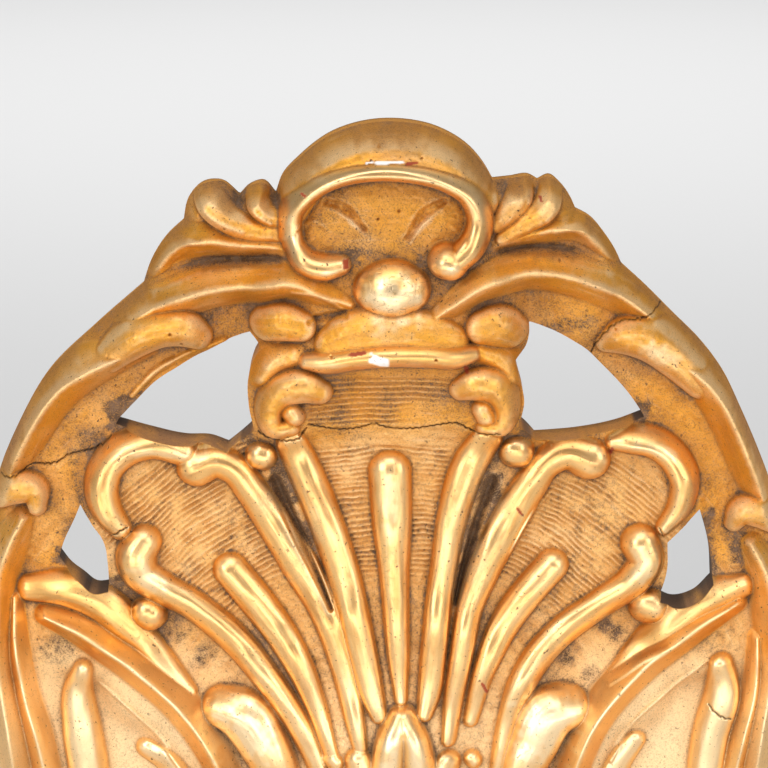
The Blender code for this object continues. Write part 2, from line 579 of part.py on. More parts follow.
def triangulate(loops, extra, links):
    """Delaunay triangles of the edges and the extra points, inside the wood only."""
    flat = np.concatenate(list(loops) + [extra]) if len(extra) else np.concatenate(loops)
    edges = []
    start = 0
    for loop in loops:
        n = len(loop)
        edges += [(start + i, start + (i + 1) % n) for i in range(n)]
        start += n
    edges += [(start + i, start + j) for i, j in links]
    verts, _, faces, _, _, _ = delaunay_2d_cdt([Vector(p) for p in flat], edges, [], 0, 1e-7)
    out = np.array([(p.x, p.y) for p in verts])
    tris = np.array([face[:3] for face in faces])
    mid = out[tris].mean(axis=1)
    return out, tris[in_wood(loops, mid[:, 0], mid[:, 1])]


def crest_mesh(name):
    """One closed solid: carved front, square edge walls and flat back."""
    loops = [edge_loop(OUTER, EDGE_STEP)] + [edge_loop(hole, EDGE_STEP) for hole in HOLES]
    rim = np.concatenate(loops)
    points, links = stroke_points(loops)
    kept = thin_out(points, rim, CLEARANCE)
    new = {old: n for n, old in enumerate(kept)}
    marks = np.array([points[n] for n in kept])
    links = [(new[i], new[j]) for i, j in links if i in new and j in new]
    links = crossing_free(marks, links)
    ground = field_points(loops, marks, FIELD_STEP, FIELD_STEP * 0.62)
    front, front_tris = triangulate(loops, np.concatenate([marks, ground]), links)
    back_ground = field_points(loops, (), FIELD_STEP * 3.0, 0.0)
    back, back_tris = triangulate(loops, back_ground, [])
    depth = depth_at(front[:, 0], front[:, 1])
    count = len(rim)

    bm = bmesh.new()
    top = [bm.verts.new((x, -d, z)) for (x, z), d in zip(front, depth)]
    base = [bm.verts.new((x, 0.0, z)) for x, z in back]
    for a, b, c in front_tris:
        bm.faces.new((top[a], top[b], top[c]))
    for a, b, c in back_tris:
        bm.faces.new((base[c], base[b], base[a]))
    start = 0
    for loop in loops:
        n = len(loop)
        for i in range(n):
            p, q = start + i, start + (i + 1) % n
            bm.faces.new((top[p], top[q], base[q]))
            bm.faces.new((top[p], base[q], base[p]))
        start += n
    assert start == count
    bmesh.ops.recalc_face_normals(bm, faces=bm.faces[:])
    if bm.calc_volume(signed=True) < 0:
        bmesh.ops.reverse_faces(bm, faces=bm.faces[:])
    mesh = bpy.data.meshes.new(name)
    bm.to_mesh(mesh)
    bm.free()
    mesh.shade_smooth()
    mesh.set_sharp_from_angle(angle=math.radians(50.0))
    return mesh


def gilding(name):
    """Plain gold leaf surface."""
    material = bpy.data.materials.new(name)
    material.use_nodes = True
    shader = material.node_tree.nodes["Principled BSDF"]
    shader.inputs["Base Color"].default_value = GOLD
    shader.inputs["Roughness"].default_value = GOLD_ROUGHNESS
    shader.inputs["Metallic"].default_value = GOLD_METALLIC
    return material


def main():
    for item in list(bpy.data.objects):
        bpy.data.objects.remove(item, do_unlink=True)
    mesh = crest_mesh("carved_crest")
    mesh.materials.append(gilding("gilded_wood"))
    crest = bpy.data.objects.new("carved_crest", mesh)
    bpy.context.scene.collection.objects.link(crest)


main()
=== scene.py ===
"""Carved and pierced giltwood cresting with a scallop shell, dressed for the camera.

The drawing of the crest is repeated here in divisions of UNIT, u to the right and v down, as seen
from a point EYE in front of its flat back and TILT above level, and its relief is read again on a
fine grid, with the gouge ripples, the grain of the gesso, the cracks and the worn places. Shade is
painted into the gold in the hollows and on the upper parts, and highlights are painted pale on
the proud places and towards the bottom.
"""
import math
from functools import reduce

import bpy
import numpy as np
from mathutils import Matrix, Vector
from mathutils.geometry import delaunay_2d_cdt


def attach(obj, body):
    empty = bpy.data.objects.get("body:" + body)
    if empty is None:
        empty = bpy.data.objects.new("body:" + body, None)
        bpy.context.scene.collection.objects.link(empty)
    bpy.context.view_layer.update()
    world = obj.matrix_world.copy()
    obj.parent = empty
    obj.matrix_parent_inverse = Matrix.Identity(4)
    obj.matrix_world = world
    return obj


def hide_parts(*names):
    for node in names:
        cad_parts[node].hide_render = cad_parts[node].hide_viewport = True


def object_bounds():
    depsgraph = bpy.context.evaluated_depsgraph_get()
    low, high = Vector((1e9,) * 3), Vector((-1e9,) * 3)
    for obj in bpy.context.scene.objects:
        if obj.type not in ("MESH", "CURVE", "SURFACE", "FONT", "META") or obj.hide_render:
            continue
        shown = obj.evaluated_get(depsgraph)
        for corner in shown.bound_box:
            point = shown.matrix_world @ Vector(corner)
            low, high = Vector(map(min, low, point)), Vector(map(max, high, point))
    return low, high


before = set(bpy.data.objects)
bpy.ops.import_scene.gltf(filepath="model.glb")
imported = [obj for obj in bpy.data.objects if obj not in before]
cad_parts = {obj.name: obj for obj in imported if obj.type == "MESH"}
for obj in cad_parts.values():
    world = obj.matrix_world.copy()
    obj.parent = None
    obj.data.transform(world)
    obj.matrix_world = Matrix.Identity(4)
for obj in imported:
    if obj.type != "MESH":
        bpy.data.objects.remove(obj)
solid_box = [[float(v) for v in corner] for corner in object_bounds()]

# The drawing
UNIT = 0.0004
EYE = 1.55
TILT = math.radians(12.0)
FRAME_MID = 384
CENTRE_LINE = 388
ORIGIN_V = 560
MIRROR = 2 * CENTRE_LINE

# Sizes in metres: the tables give depths and rises as multiples of MM
MM = 0.001
ARCH_EDGE = 0.009
ARCH_BODY = 0.020
CROWN_FIELD = 0.035
BROW_BODY = 0.039
SHELL_EDGE = 0.020
SHELL_GROUND = 0.017
SHELL_HEART = 0.025
LOWER_GROUND = 0.013

# Steps along the curves, and the grid of the carved front
CURVE_STEP = 0.0012
OUTER_STEP = 0.0015
GRID = 0.00044

# Profile of a stroke
FOOT = 0.14
BLUNT = 0.10

# Broad form of the left half: (body, ((u, v, mm above that body, reach in divisions), ...));
# the right half mirrors it
BROAD = (
    (ARCH_EDGE, ((388, 112, 8, 20), (350, 118, 8, 20), (312, 138, 8, 20), (285, 165, 9, 18),
        (212, 185, 5, 20), (255, 190, 7, 18), (165, 245, 2, 18), (140, 285, 1, 20),
        (90, 330, 0, 22), (40, 378, 0, 24), (5, 440, 0, 24), (-15, 520, 0, 28), (-18, 600, 0, 30),
        (-17, 690, 0, 30), (-12, 790, 1, 30))),
    (CROWN_FIELD, ((388, 165, 1, 22), (340, 175, 1, 22), (305, 200, -1, 20), (388, 225, 0, 32),
        (340, 230, 0, 28), (388, 290, 2, 30), (335, 300, -1, 26))),
    (BROW_BODY, ((388, 345, 0, 28), (330, 350, -1, 24), (388, 400, -9, 26), (345, 400, -9, 24),
        (290, 405, -7, 24), (258, 400, -15, 18), (285, 325, -11, 20))),
    (ARCH_BODY, ((240, 235, 3, 20), (275, 215, 6, 18), (200, 250, -2, 18), (190, 298, 4, 22),
        (140, 325, 2, 20), (95, 362, 1, 20), (55, 405, 0, 20), (30, 455, -1, 20),
        (20, 520, -3, 22), (235, 322, -2, 18), (165, 365, -5, 18), (118, 400, -6, 20),
        (80, 440, -6, 20), (58, 490, -6, 20), (52, 545, -7, 20))),
    (SHELL_HEART, ((388, 470, -1, 32), (388, 560, 0, 34), (388, 650, 2, 34), (388, 740, 6, 34),
        (320, 470, -4, 26), (320, 560, -4, 24), (345, 660, 0, 24), (388, 800, 5, 34))),
    (SHELL_GROUND, ((190, 500, 0, 30), (230, 530, 0, 30), (180, 570, 1, 26), (240, 610, 2, 28),
        (300, 690, 6, 28))),
    (SHELL_EDGE, ((255, 470, -1, 22), (140, 470, 0, 24), (105, 500, 0, 22), (130, 555, -1, 22))),
    (LOWER_GROUND, ((90, 610, 2, 22), (150, 625, -1, 24), (190, 650, 1, 24), (90, 640, 8, 20),
        (150, 690, 8, 20), (200, 740, 8, 20), (70, 720, 0, 24), (130, 770, 0, 24),
        (240, 720, 5, 22), (290, 770, 9, 26), (20, 640, 4, 22), (30, 720, 4, 24),
        (60, 800, 2, 26), (220, 800, 5, 28))),
)


def strokes(*rows):
    """Group of strokes: each with the profile that the last word before it names."""
    group, kind = [], None
    for row in rows:
        if isinstance(row, str):
            kind = row
        else:
            group.append((kind, row))
    return group


# Raised carving: ((u, v, half width in divisions, rise in mm), ...) under a word for its profile.
# "roll" is half round, "soft" a bell, "ridge" an arris between two hollow flanks.
CROWN = strokes(
    "roll",
    ((289, 238, 12, 8), (291, 214, 13, 11), (306, 197, 12, 13), (334, 181, 12, 14),
     (370, 174, 12, 15), (408, 175, 12, 15), (446, 184, 12, 14), (471, 199, 13, 13),
     (481, 224, 14, 12), (474, 248, 15, 12), (460, 262, 15, 12)),
    ((289, 230, 12, 8), (294, 250, 12, 9), (306, 266, 14, 10), (324, 271, 14, 10),
     (340, 268, 11, 8)),
    ((292, 214, 14, 5), (306, 182, 22, 9), (345, 157, 28, 12), (388, 150, 31, 13),
     (432, 155, 28, 12), (468, 176, 22, 9), (486, 206, 14, 5)),
    ((378, 293, 25, 9), (392, 293, 30, 11), (406, 293, 25, 9)),
    ((447, 266, 19, 13), (451, 267, 19, 13)),
)
LEAVES = strokes(
    "roll",
    ((282, 236, 8, 3), (250, 232, 12, 7), (226, 222, 14, 10), (207, 203, 15, 12),
     (203, 192, 12, 9)),
    ((284, 224, 7, 3), (268, 218, 11, 6), (256, 204, 12, 9), (260, 190, 10, 8)),
    "ridge",
    ((285, 250, 10, 3), (240, 246, 14, 6), (200, 243, 18, 8), (172, 250, 17, 8),
     (152, 272, 9, 5)),
    "roll",
    ((498, 226, 9, 4), (510, 214, 13, 8), (521, 198, 14, 10), (522, 184, 9, 8)),
    ((504, 240, 9, 4), (528, 224, 13, 8), (549, 206, 14, 11), (552, 187, 10, 8)),
    "ridge",
    ((500, 246, 9, 3), (545, 232, 14, 6), (582, 231, 15, 8), (602, 244, 13, 7), (616, 260, 7, 4)),
    ((506, 205, 8, 2), (490, 200, 9, 2)),
)
ARCH_LEFT = strokes(
    "ridge",
    ((350, 306, 7, 3), (322, 296, 14, 7), (290, 286, 20, 11), (250, 288, 23, 13),
     (205, 293, 24, 13), (160, 306, 23, 12), (126, 326, 16, 8)),
    "roll",
    ((196, 339, 16, 8), (184, 334, 21, 11), (160, 333, 22, 13), (134, 343, 22, 14),
     (108, 361, 17, 11)),
    "ridge",
    ((150, 350, 10, 5), (118, 360, 18, 12), (88, 373, 23, 15), (58, 392, 25, 16),
     (34, 420, 26, 16), (18, 448, 24, 15), (8, 474, 17, 10)),
    "roll",
    ((-12, 498, 18, 10), (12, 492, 19, 13), (32, 494, 15, 12), (36, 510, 10, 9)),
    "ridge",
    ((22, 520, 12, 6), (8, 548, 20, 12), (-2, 580, 22, 14), (-4, 620, 22, 14),
     (-2, 680, 20, 13), (8, 740, 18, 12), (18, 812, 18, 12)),
    "soft",
    ((224, 340, 5, 2), (190, 353, 6, 2), (155, 372, 6, 2), (132, 396, 5, 1.5)),
    "roll",
    ((266, 327, 18, 9), (284, 326, 20, 10), (300, 329, 16, 8)),
)
ARCH_RIGHT = strokes(
    "ridge",
    ((430, 322, 7, 3), (452, 308, 13, 7), (482, 290, 19, 11), (520, 276, 22, 13),
     (560, 276, 23, 13), (602, 288, 23, 13), (640, 309, 18, 10), (662, 326, 9, 4)),
    "roll",
    ((607, 345, 11, 6), (626, 341, 20, 11), (652, 345, 24, 14), (680, 362, 24, 14),
     (702, 386, 18, 11)),
    "ridge",
    ((640, 352, 10, 4), (672, 360, 18, 11), (702, 380, 23, 15), (724, 404, 25, 16),
     (742, 436, 26, 16), (756, 470, 25, 15), (764, 500, 18, 10)),
    "roll",
    ((735, 526, 10, 8), (744, 516, 15, 12), (762, 516, 18, 12), (780, 524, 16, 8)),
    "ridge",
    ((752, 546, 12, 6), (766, 574, 20, 12), (774, 620, 22, 14), (772, 680, 20, 13),
     (762, 740, 18, 12), (752, 812, 18, 12)),
    "roll",
    ((484, 331, 18, 9), (500, 330, 22, 10), (512, 334, 18, 9)),
)
NECK = strokes(
    "roll",
    ((334, 347, 20, 5), (352, 341, 26, 7), (388, 339, 29, 7), (428, 341, 26, 7),
     (450, 346, 20, 5)),
    ((306, 364, 9, 6), (326, 366, 13, 8), (352, 362, 14, 10), (388, 359, 14, 11),
     (428, 359, 14, 10), (456, 360, 13, 8), (475, 355, 9, 6)),
    ((320, 395, 13, 7), (302, 391, 18, 10), (281, 395, 18, 11), (268, 412, 15, 10),
     (274, 432, 12, 8), (290, 431, 10, 6)),
    ((290, 415, 11, 8), (294, 420, 11, 8)),
    ((461, 392, 12, 6), (476, 389, 17, 10), (496, 391, 19, 11), (507, 410, 15, 10),
     (500, 430, 12, 8), (486, 430, 10, 6)),
    ((484, 412, 12, 8), (488, 420, 12, 8)),
    "soft",
    ((292, 357, 17, 5), (272, 364, 22, 7), (262, 380, 18, 7)),
    ((482, 352, 17, 5), (504, 362, 22, 7), (514, 380, 16, 7)),
)
SHELL_LEFT = strokes(
    "roll",
    ((184, 456, 15, 8), (152, 447, 17, 9), (125, 453, 18, 9), (106, 470, 18, 9),
     (100, 495, 18, 9), (106, 515, 16, 8), (120, 532, 12, 6)),
    ((196, 471, 21, 9), (214, 465, 18, 9), (234, 473, 17, 8), (252, 496, 17, 8),
     (272, 526, 18, 8), (302, 574, 19, 8), (327, 620, 16, 7), (342, 668, 13, 6),
     (354, 720, 11, 5), (360, 750, 8, 4)),
    ((143, 546, 18, 9), (135, 560, 21, 10), (139, 577, 20, 9), (156, 590, 19, 8),
     (190, 608, 17, 8), (232, 642, 17, 8), (272, 690, 15, 7), (302, 736, 13, 6),
     (322, 782, 9, 4)),
    ((230, 573, 18, 7), (262, 612, 18, 7), (293, 658, 16, 7), (314, 704, 12, 6),
     (332, 760, 8, 4)),
    ((259, 459, 15, 8), (262, 460, 15, 8)),
    ((146, 617, 18, 10), (149, 619, 18, 10)),
)
SHELL_MID = strokes(
    "roll",
    ((292, 448, 17, 6), (306, 478, 18, 8), (326, 526, 18, 8), (341, 571, 18, 8),
     (352, 614, 17, 8), (362, 658, 16, 7), (372, 698, 13, 6), (379, 718, 9, 4)),
    ((390, 476, 22, 9), (392, 530, 20, 9), (394, 572, 16, 8), (396, 614, 14, 8),
     (398, 656, 12, 7), (401, 702, 7, 5)),
    ((487, 442, 17, 6), (470, 468, 18, 8), (452, 524, 16, 8), (444, 571, 14, 8),
     (438, 614, 14, 8), (434, 656, 14, 7), (429, 700, 12, 6), (425, 716, 9, 5)),
)
SHELL_RIGHT = strokes(
    "roll",
    ((614, 444, 9, 5), (634, 443, 15, 8), (654, 446, 16, 9), (674, 460, 16, 9),
     (686, 484, 16, 9), (682, 508, 14, 8), (665, 530, 9, 6)),
    ((590, 463, 22, 9), (570, 456, 19, 9), (548, 466, 17, 8), (530, 490, 18, 8),
     (506, 530, 19, 8), (486, 572, 17, 8), (470, 614, 14, 8), (462, 656, 13, 7),
     (454, 700, 11, 6), (449, 742, 8, 4)),
    ((641, 548, 20, 10), (647, 564, 19, 10), (634, 586, 18, 9), (604, 606, 17, 8),
     (562, 636, 17, 8), (526, 682, 16, 8), (507, 732, 12, 6), (497, 778, 9, 4)),
    ((553, 569, 17, 8), (527, 598, 17, 8), (504, 630, 16, 7), (485, 672, 12, 6),
     (471, 722, 8, 4)),
    ((516, 456, 17, 9), (519, 456, 17, 9)),
    ((648, 611, 19, 10), (651, 611, 19, 10)),
)
LOWER_LEFT = strokes(
    "roll",
    ((28, 590, 14, 6), (64, 592, 19, 8), (100, 606, 20, 8), (134, 634, 17, 7),
     (166, 666, 12, 5), (190, 692, 8, 3)),
    "ridge",
    ((44, 618, 13, 7), (78, 634, 19, 10), (118, 660, 21, 12), (158, 692, 21, 12),
     (192, 728, 21, 12), (218, 770, 20, 12), (234, 812, 20, 11)),
    ((14, 598, 11, 6), (14, 640, 15, 9), (22, 690, 16, 10), (36, 740, 17, 10), (52, 812, 17, 10)),
    "roll",
    ((82, 672, 10, 6), (77, 696, 16, 9), (80, 730, 20, 10), (86, 768, 21, 10), (94, 812, 18, 9)),
    ((146, 750, 11, 5), (168, 766, 14, 6), (188, 812, 14, 5)),
    ((222, 712, 22, 9), (240, 720, 28, 12), (262, 750, 27, 12), (282, 790, 21, 10),
     (290, 812, 18, 9)),
)
LOWER_RIGHT = strokes(
    "roll",
    ((744, 588, 13, 6), (712, 600, 18, 8), (676, 622, 19, 8), (642, 650, 15, 6),
     (614, 678, 9, 3)),
    "ridge",
    ((738, 604, 13, 7), (704, 626, 19, 11), (664, 654, 21, 12), (626, 688, 21, 12),
     (596, 726, 21, 12), (576, 770, 20, 12), (564, 812, 20, 11)),
    ((758, 640, 12, 6), (756, 690, 15, 9), (744, 740, 16, 9), (728, 812, 16, 9)),
    "roll",
    ((722, 668, 13, 7), (724, 694, 18, 9), (712, 740, 19, 9), (702, 812, 18, 8)),
    ((636, 742, 11, 5), (618, 768, 14, 6), (608, 812, 14, 5)),
    ((570, 712, 22, 9), (553, 718, 28, 12), (534, 750, 27, 12), (518, 790, 21, 10),
     (510, 812, 18, 9)),
)
BOSS = strokes(
    "roll",
    ((400, 722, 13, 8), (393, 742, 16, 11), (387, 778, 18, 11), (381, 812, 18, 11)),
    ((404, 722, 13, 8), (414, 744, 15, 11), (420, 778, 18, 11), (425, 812, 18, 11)),
    ((358, 764, 14, 6), (366, 790, 17, 7), (372, 812, 17, 7)),
    ((448, 766, 14, 6), (438, 790, 17, 7), (432, 812, 17, 7)),
    ((331, 762, 10, 5), (334, 765, 10, 5)),
    ((472, 760, 9, 5), (474, 763, 9, 5)),
)

# Cut lines: (depth in mm, ((u, v, half width in divisions), ...)); the first SLITS of them are
# the two narrow marks in the crown's field
CUTS = (
    (3, ((326, 202, 5), (344, 208, 7), (364, 230, 5))),
    (3, ((444, 202, 5), (426, 212, 8), (408, 238, 5))),
    (5, ((275, 480, 9), (298, 530, 8), (317, 572, 5), (331, 606, 3))),
    (5, ((492, 482, 10), (478, 520, 8), (464, 566, 5), (455, 604, 3))),
    (2, ((152, 284, 6), (200, 264, 8), (278, 260, 7))),
    (2, ((500, 250, 7), (548, 248, 8), (614, 266, 6))),
    (2, ((310, 320, 5), (330, 316, 6), (345, 314, 5))),
)
SLITS = 2

# Edges in plan: spans of control points (u, v, depth in mm at which the drawing shows the edge,
# or none where it lies on the back plane)
OUTER = (
    ((776, 812), (-8, 812)),
    ((-8, 812), (-16, 700), (-17, 600), (-8, 520), (0, 470), (20, 420),
     (50, 368), (97, 322), (144, 281)),
    ((144, 281), (151, 260), (168, 233), (184, 218)),
    ((184, 218), (189, 196), (205, 180), (222, 179), (240, 193)),
    ((240, 193), (250, 183), (264, 179), (276, 191)),
    ((276, 191), (282, 174), (300, 154), (331, 131), (370, 119), (400, 118),
     (435, 125), (470, 146), (484, 163), (492, 177)),
    ((492, 177), (510, 175), (528, 173), (537, 178)),
    ((537, 178), (548, 173), (560, 182), (570, 196), (575, 207)),
    ((575, 207), (588, 214), (604, 232), (615, 249), (621, 262)),
    ((621, 262), (645, 284), (672, 311), (700, 339), (721, 367), (740, 406),
     (757, 446), (768, 476), (779, 525), (786, 590), (787, 690), (776, 812)),
)
HOLES = (
    (((250, 331, 20), (232, 337, 18), (205, 350, 16), (180, 365, 15), (155, 381, 14),
      (136, 399, 11), (118, 416, 6)),
     ((118, 416), (150, 425), (187, 433), (212, 434), (229, 440)),
     ((229, 440), (244, 428), (256, 419, 4)),
     ((256, 419, 4), (250, 398, 12), (249, 374, 16), (254, 357, 20), (260, 345, 20),
      (250, 331, 20))),
    (((529, 321, 20), (552, 329, 18), (578, 342, 16), (604, 366, 15), (627, 390, 12),
      (642, 409, 4)),
     ((642, 409), (618, 418), (580, 426), (550, 429), (534, 430)),
     ((534, 430), (526, 422, 2), (517, 416, 6)),
     ((517, 416, 6), (523, 394, 12), (518, 372, 18), (514, 355, 20)),
     ((514, 355, 20), (525, 346, 20), (529, 334, 20), (529, 321, 20))),
    (((82, 499, 8), (75, 516, 8), (66, 535, 6), (61, 550, 3)),
     ((61, 550, 3), (72, 561), (84, 570), (98, 580), (112, 579)),
     ((112, 579), (109, 560, 12), (104, 540, 16), (93, 522, 14), (82, 499, 8))),
    (((698, 504, 8), (703, 520, 8), (709, 545, 6), (710, 574, 2)),
     ((710, 574, 2), (692, 589), (670, 594), (656, 588)),
     ((656, 588), (666, 566, 12), (667, 541, 16)),
     ((667, 541, 16), (681, 526, 14), (698, 504, 8))),
)

ORIGIN_Z = (FRAME_MID - ORIGIN_V) * UNIT / math.cos(TILT)


def place(u, v, depth):
    """Plan point (x, z) of the mark drawn at (u, v), standing this far in front of the back."""
    a = (u - FRAME_MID) * UNIT
    b = (FRAME_MID - v) * UNIT
    k = (EYE * math.cos(TILT) - depth) / (EYE * math.cos(TILT) + b * math.sin(TILT))
    x = (FRAME_MID - CENTRE_LINE) * UNIT + k * a
    z = EYE * math.sin(TILT) + k * (b * math.cos(TILT) - EYE * math.sin(TILT)) - ORIGIN_Z
    return x, z


def broad_table():
    """Plan point, depth and reach of every blended depth, both halves."""
    rows = []
    for body, marks in BROAD:
        for u, v, more, reach in marks:
            depth = body + more * MM
            for side in sorted({u, MIRROR - u}):
                rows.append((*place(side, v, depth), depth, reach * UNIT))
    return np.array(rows)


BROAD_TABLE = broad_table()


def broad(x, z):
    """Broad form: the mean of the blended depths, weighted by a bell of the distance to each."""
    total = np.full(x.shape, 1e-12)
    mean = np.full(x.shape, ARCH_BODY * 1e-12)
    for bx, bz, depth, reach in BROAD_TABLE:
        weight = np.exp(-0.5 * ((x - bx) ** 2 + (z - bz) ** 2) / reach ** 2)
        total += weight
        mean += weight * depth
    return mean / total


def stand(u, v, rise):
    """Plan point of a mark that stands its rise above the broad form under it."""
    depth = ARCH_BODY + rise
    for _ in range(5):
        x, z = place(u, v, depth)
        depth = float(broad(np.array([x]), np.array([z]))[0]) + rise
    return place(u, v, depth)


def spline(points, step):
    """Smooth curve through the points, column by column, read about one step apart."""
    pts = np.asarray(points, dtype=float)
    gaps = np.hypot(np.diff(pts[:, 0]), np.diff(pts[:, 1]))
    knots = np.concatenate([[0.0], np.cumsum(np.maximum(gaps, 1e-6))])
    slope = np.gradient(pts, knots, axis=0) if len(pts) > 2 else np.tile(
        (pts[-1] - pts[0]) / knots[-1], (len(pts), 1))
    count = max(2, int(round(knots[-1] / step)) + 1)
    s = np.linspace(0.0, knots[-1], count)
    i = np.clip(np.searchsorted(knots, s, side="right") - 1, 0, len(pts) - 2)
    h = (knots[i + 1] - knots[i])[:, None]
    t = ((s - knots[i])[:, None]) / h
    h00 = 2 * t ** 3 - 3 * t ** 2 + 1
    h10 = t ** 3 - 2 * t ** 2 + t
    h01 = -2 * t ** 3 + 3 * t ** 2
    h11 = t ** 3 - t ** 2
    return h00 * pts[i] + h10 * h * slope[i] + h01 * pts[i + 1] + h11 * h * slope[i + 1]


def profile(kind, t):
    """Share of the rise at t half widths from the centre line, eased at the foot of a roll."""
    t = np.clip(np.abs(t), 0.0, 1.0)
    if kind == "roll":
        return np.sqrt(1.0 - t * t) * np.clip((1.0 - t) / FOOT, 0.0, 1.0) ** 0.35
    if kind == "ridge":
        t = (np.sqrt(t * t + BLUNT ** 2) - BLUNT) / (math.sqrt(1.0 + BLUNT ** 2) - BLUNT)
        return (1.0 - t) ** 1.15
    return 0.5 + 0.5 * np.cos(math.pi * t)


def centre_line(rows, step):
    """Centre line of a stroke in plan: columns x, z, half width and rise."""
    table = []
    for u, v, half, rise in rows:
        x, z = stand(u, v, rise * MM)
        table.append((x, z, half * UNIT, rise * MM))
    line = spline(table, step)
    line[:, 2] = np.maximum(line[:, 2], UNIT)
    return line


def lift(line, kind, x, z):
    """Rise of one stroke at the plan points, nought outside it."""
    out = np.zeros(x.shape)
    reach = line[:, 2].max()
    near = ((x > line[:, 0].min() - reach) & (x < line[:, 0].max() + reach)
            & (z > line[:, 1].min() - reach) & (z < line[:, 1].max() + reach))
    idx = np.nonzero(near)[0]
    if len(idx) == 0:
        return out
    px = x[idx][:, None]
    pz = z[idx][:, None]
    ax, az = line[:-1, 0], line[:-1, 1]
    dx, dz = np.diff(line[:, 0]), np.diff(line[:, 1])
    span = np.maximum(dx * dx + dz * dz, 1e-12)
    f = np.clip(((px - ax) * dx + (pz - az) * dz) / span, 0.0, 1.0)
    dist = np.hypot(px - (ax + f * dx), pz - (az + f * dz))
    half = line[:-1, 2] + f * np.diff(line[:, 2])
    rise = line[:-1, 3] + f * np.diff(line[:, 3])
    out[idx] = (rise * profile(kind, dist / half)).max(axis=1)
    return out


def edge_loop(spans, step):
    """Closed edge in plan through its spans, with a corner where two spans meet."""
    loop = []
    for span in spans:
        curve = spline([place(u, v, sum(depth) * MM) for u, v, *depth in span], step)
        loop.extend(curve[:-1].tolist())
    return np.array(loop)


# Finish of each group of carving: 0 is the matte ground, 0.5 satin gold, 1 burnished gold
FINISHES = (
    (CROWN[:2], 1.0), (CROWN[2:3], 0.5), (CROWN[3:], 0.9), (LEAVES, 0.5),
    (ARCH_LEFT, 0.5), (ARCH_RIGHT, 0.5), (NECK[:1], 0.5), (NECK[1:2], 0.8), (NECK[2:6], 0.65),
    (NECK[6:], 0.5), (SHELL_LEFT, 1.0), (SHELL_MID, 1.0), (SHELL_RIGHT, 1.0),
    (LOWER_LEFT, 0.8), (LOWER_RIGHT, 0.8), (BOSS, 0.9),
)

# Small work that the solid leaves out, told as the raised carving is
VEINS = strokes(
    "soft",
    ((293, 290, 4, 1.2), (314, 293, 4, 1.6), (332, 301, 4, 1.2), (342, 309, 3, 0.6)),
    ((550, 492, 3, 0.8), (532, 514, 4, 1.4), (514, 545, 3, 1.0), (502, 572, 3, 0.5)),
    ((100, 684, 3, 0.6), (128, 708, 4, 1.5), (158, 736, 4, 1.5), (186, 772, 4, 1.2)),
    ((708, 660, 3, 0.6), (672, 688, 4, 1.5), (636, 720, 4, 1.5), (610, 758, 4, 1.2)),
    ((668, 640, 3, 0.6), (640, 655, 4, 1.4), (608, 680, 3, 0.8)),
    "ridge",
    ((194, 188, 5, 0.8), (203, 206, 6, 1.5), (220, 219, 6, 1.5), (242, 228, 5, 0.8)),
    ((248, 192, 5, 0.8), (252, 208, 5, 1.3), (270, 222, 5, 0.8)),
    ((168, 244, 4, 0.8), (182, 240, 5, 1.5), (204, 241, 4, 0.6)),
    "soft",
    ((206, 184, 12, 1.6), (212, 188, 12, 1.6)),
    ((262, 186, 9, 1.4), (264, 190, 9, 1.4)),
    "ridge",
    ((546, 182, 5, 0.8), (558, 200, 6, 1.4), (548, 218, 5, 0.8)),
    ((526, 184, 5, 0.8), (530, 200, 5, 1.3), (520, 216, 5, 0.8)),
    ((556, 230, 4, 0.7), (580, 226, 5, 1.5), (598, 234, 4, 0.8)),
    "soft",
    ((336, 212, 3, 0.3), (352, 222, 3, 0.9), (366, 236, 3, 0.6)),
    ((436, 214, 3, 0.4), (422, 226, 3, 0.9), (410, 244, 3, 0.5)),
    ((298, 226, 4, 0.4), (318, 222, 5, 0.8), (330, 232, 4, 0.4)),
    ((452, 228, 4, 0.4), (462, 238, 5, 0.8), (456, 248, 4, 0.4)),
)

# Shrinkage cracks: (u, v, depth in mm at which each point lies), opened by CRACK_HALF
CRACKS = (
    ((308, 427, 34), (335, 431, 31), (361, 428, 31), (373, 425, 31), (386, 429, 31),
     (410, 430, 31), (437, 426, 31), (458, 425, 32), (468, 431, 34), (480, 435, 36),
     (500, 436, 38)),
    ((258, 432, 26), (265, 438, 28), (285, 442, 34), (300, 440, 36), (306, 430, 34)),
    ((0, 474, 14), (15, 477, 24), (28, 471, 28), (51, 468, 24), (67, 458, 20), (84, 451, 16),
     (98, 446, 15), (112, 434, 14)),
    ((591, 352, 16), (600, 339, 24), (618, 325, 30), (644, 321, 30), (655, 312, 22),
     (664, 304, 12)),
    ((110, 539, 26), (119, 533, 27), (127, 530, 27)),
    ((660, 530, 26), (665, 541, 27)),
    ((708, 703, 18), (717, 712, 19), (730, 716, 18)),
)
CRACK_HALF = 0.00042
CRACK_DEPTH = 0.0012

# Bare places: (u, v, depth in mm, half width, half height, turn in degrees)
GESSO = ((379, 362, 49, 10, 5.5, -12), (388, 164, 48, 14, 1.3, 1), (370, 164, 48, 4, 1.0, 8))
BOLE = ((357, 355, 48, 8, 1.5, 10), (412, 165, 48, 6, 1.4, 8), (346, 266, 44, 3, 5, 0),
        (303, 197, 47, 3, 1.5, -30), (520, 513, 27, 1.5, 7, 35), (466, 372, 44, 2, 5, 20),
        (485, 690, 30, 1.5, 8, 25), (613, 455, 30, 2, 5, -10), (541, 200, 26, 1.2, 2.4, 20))

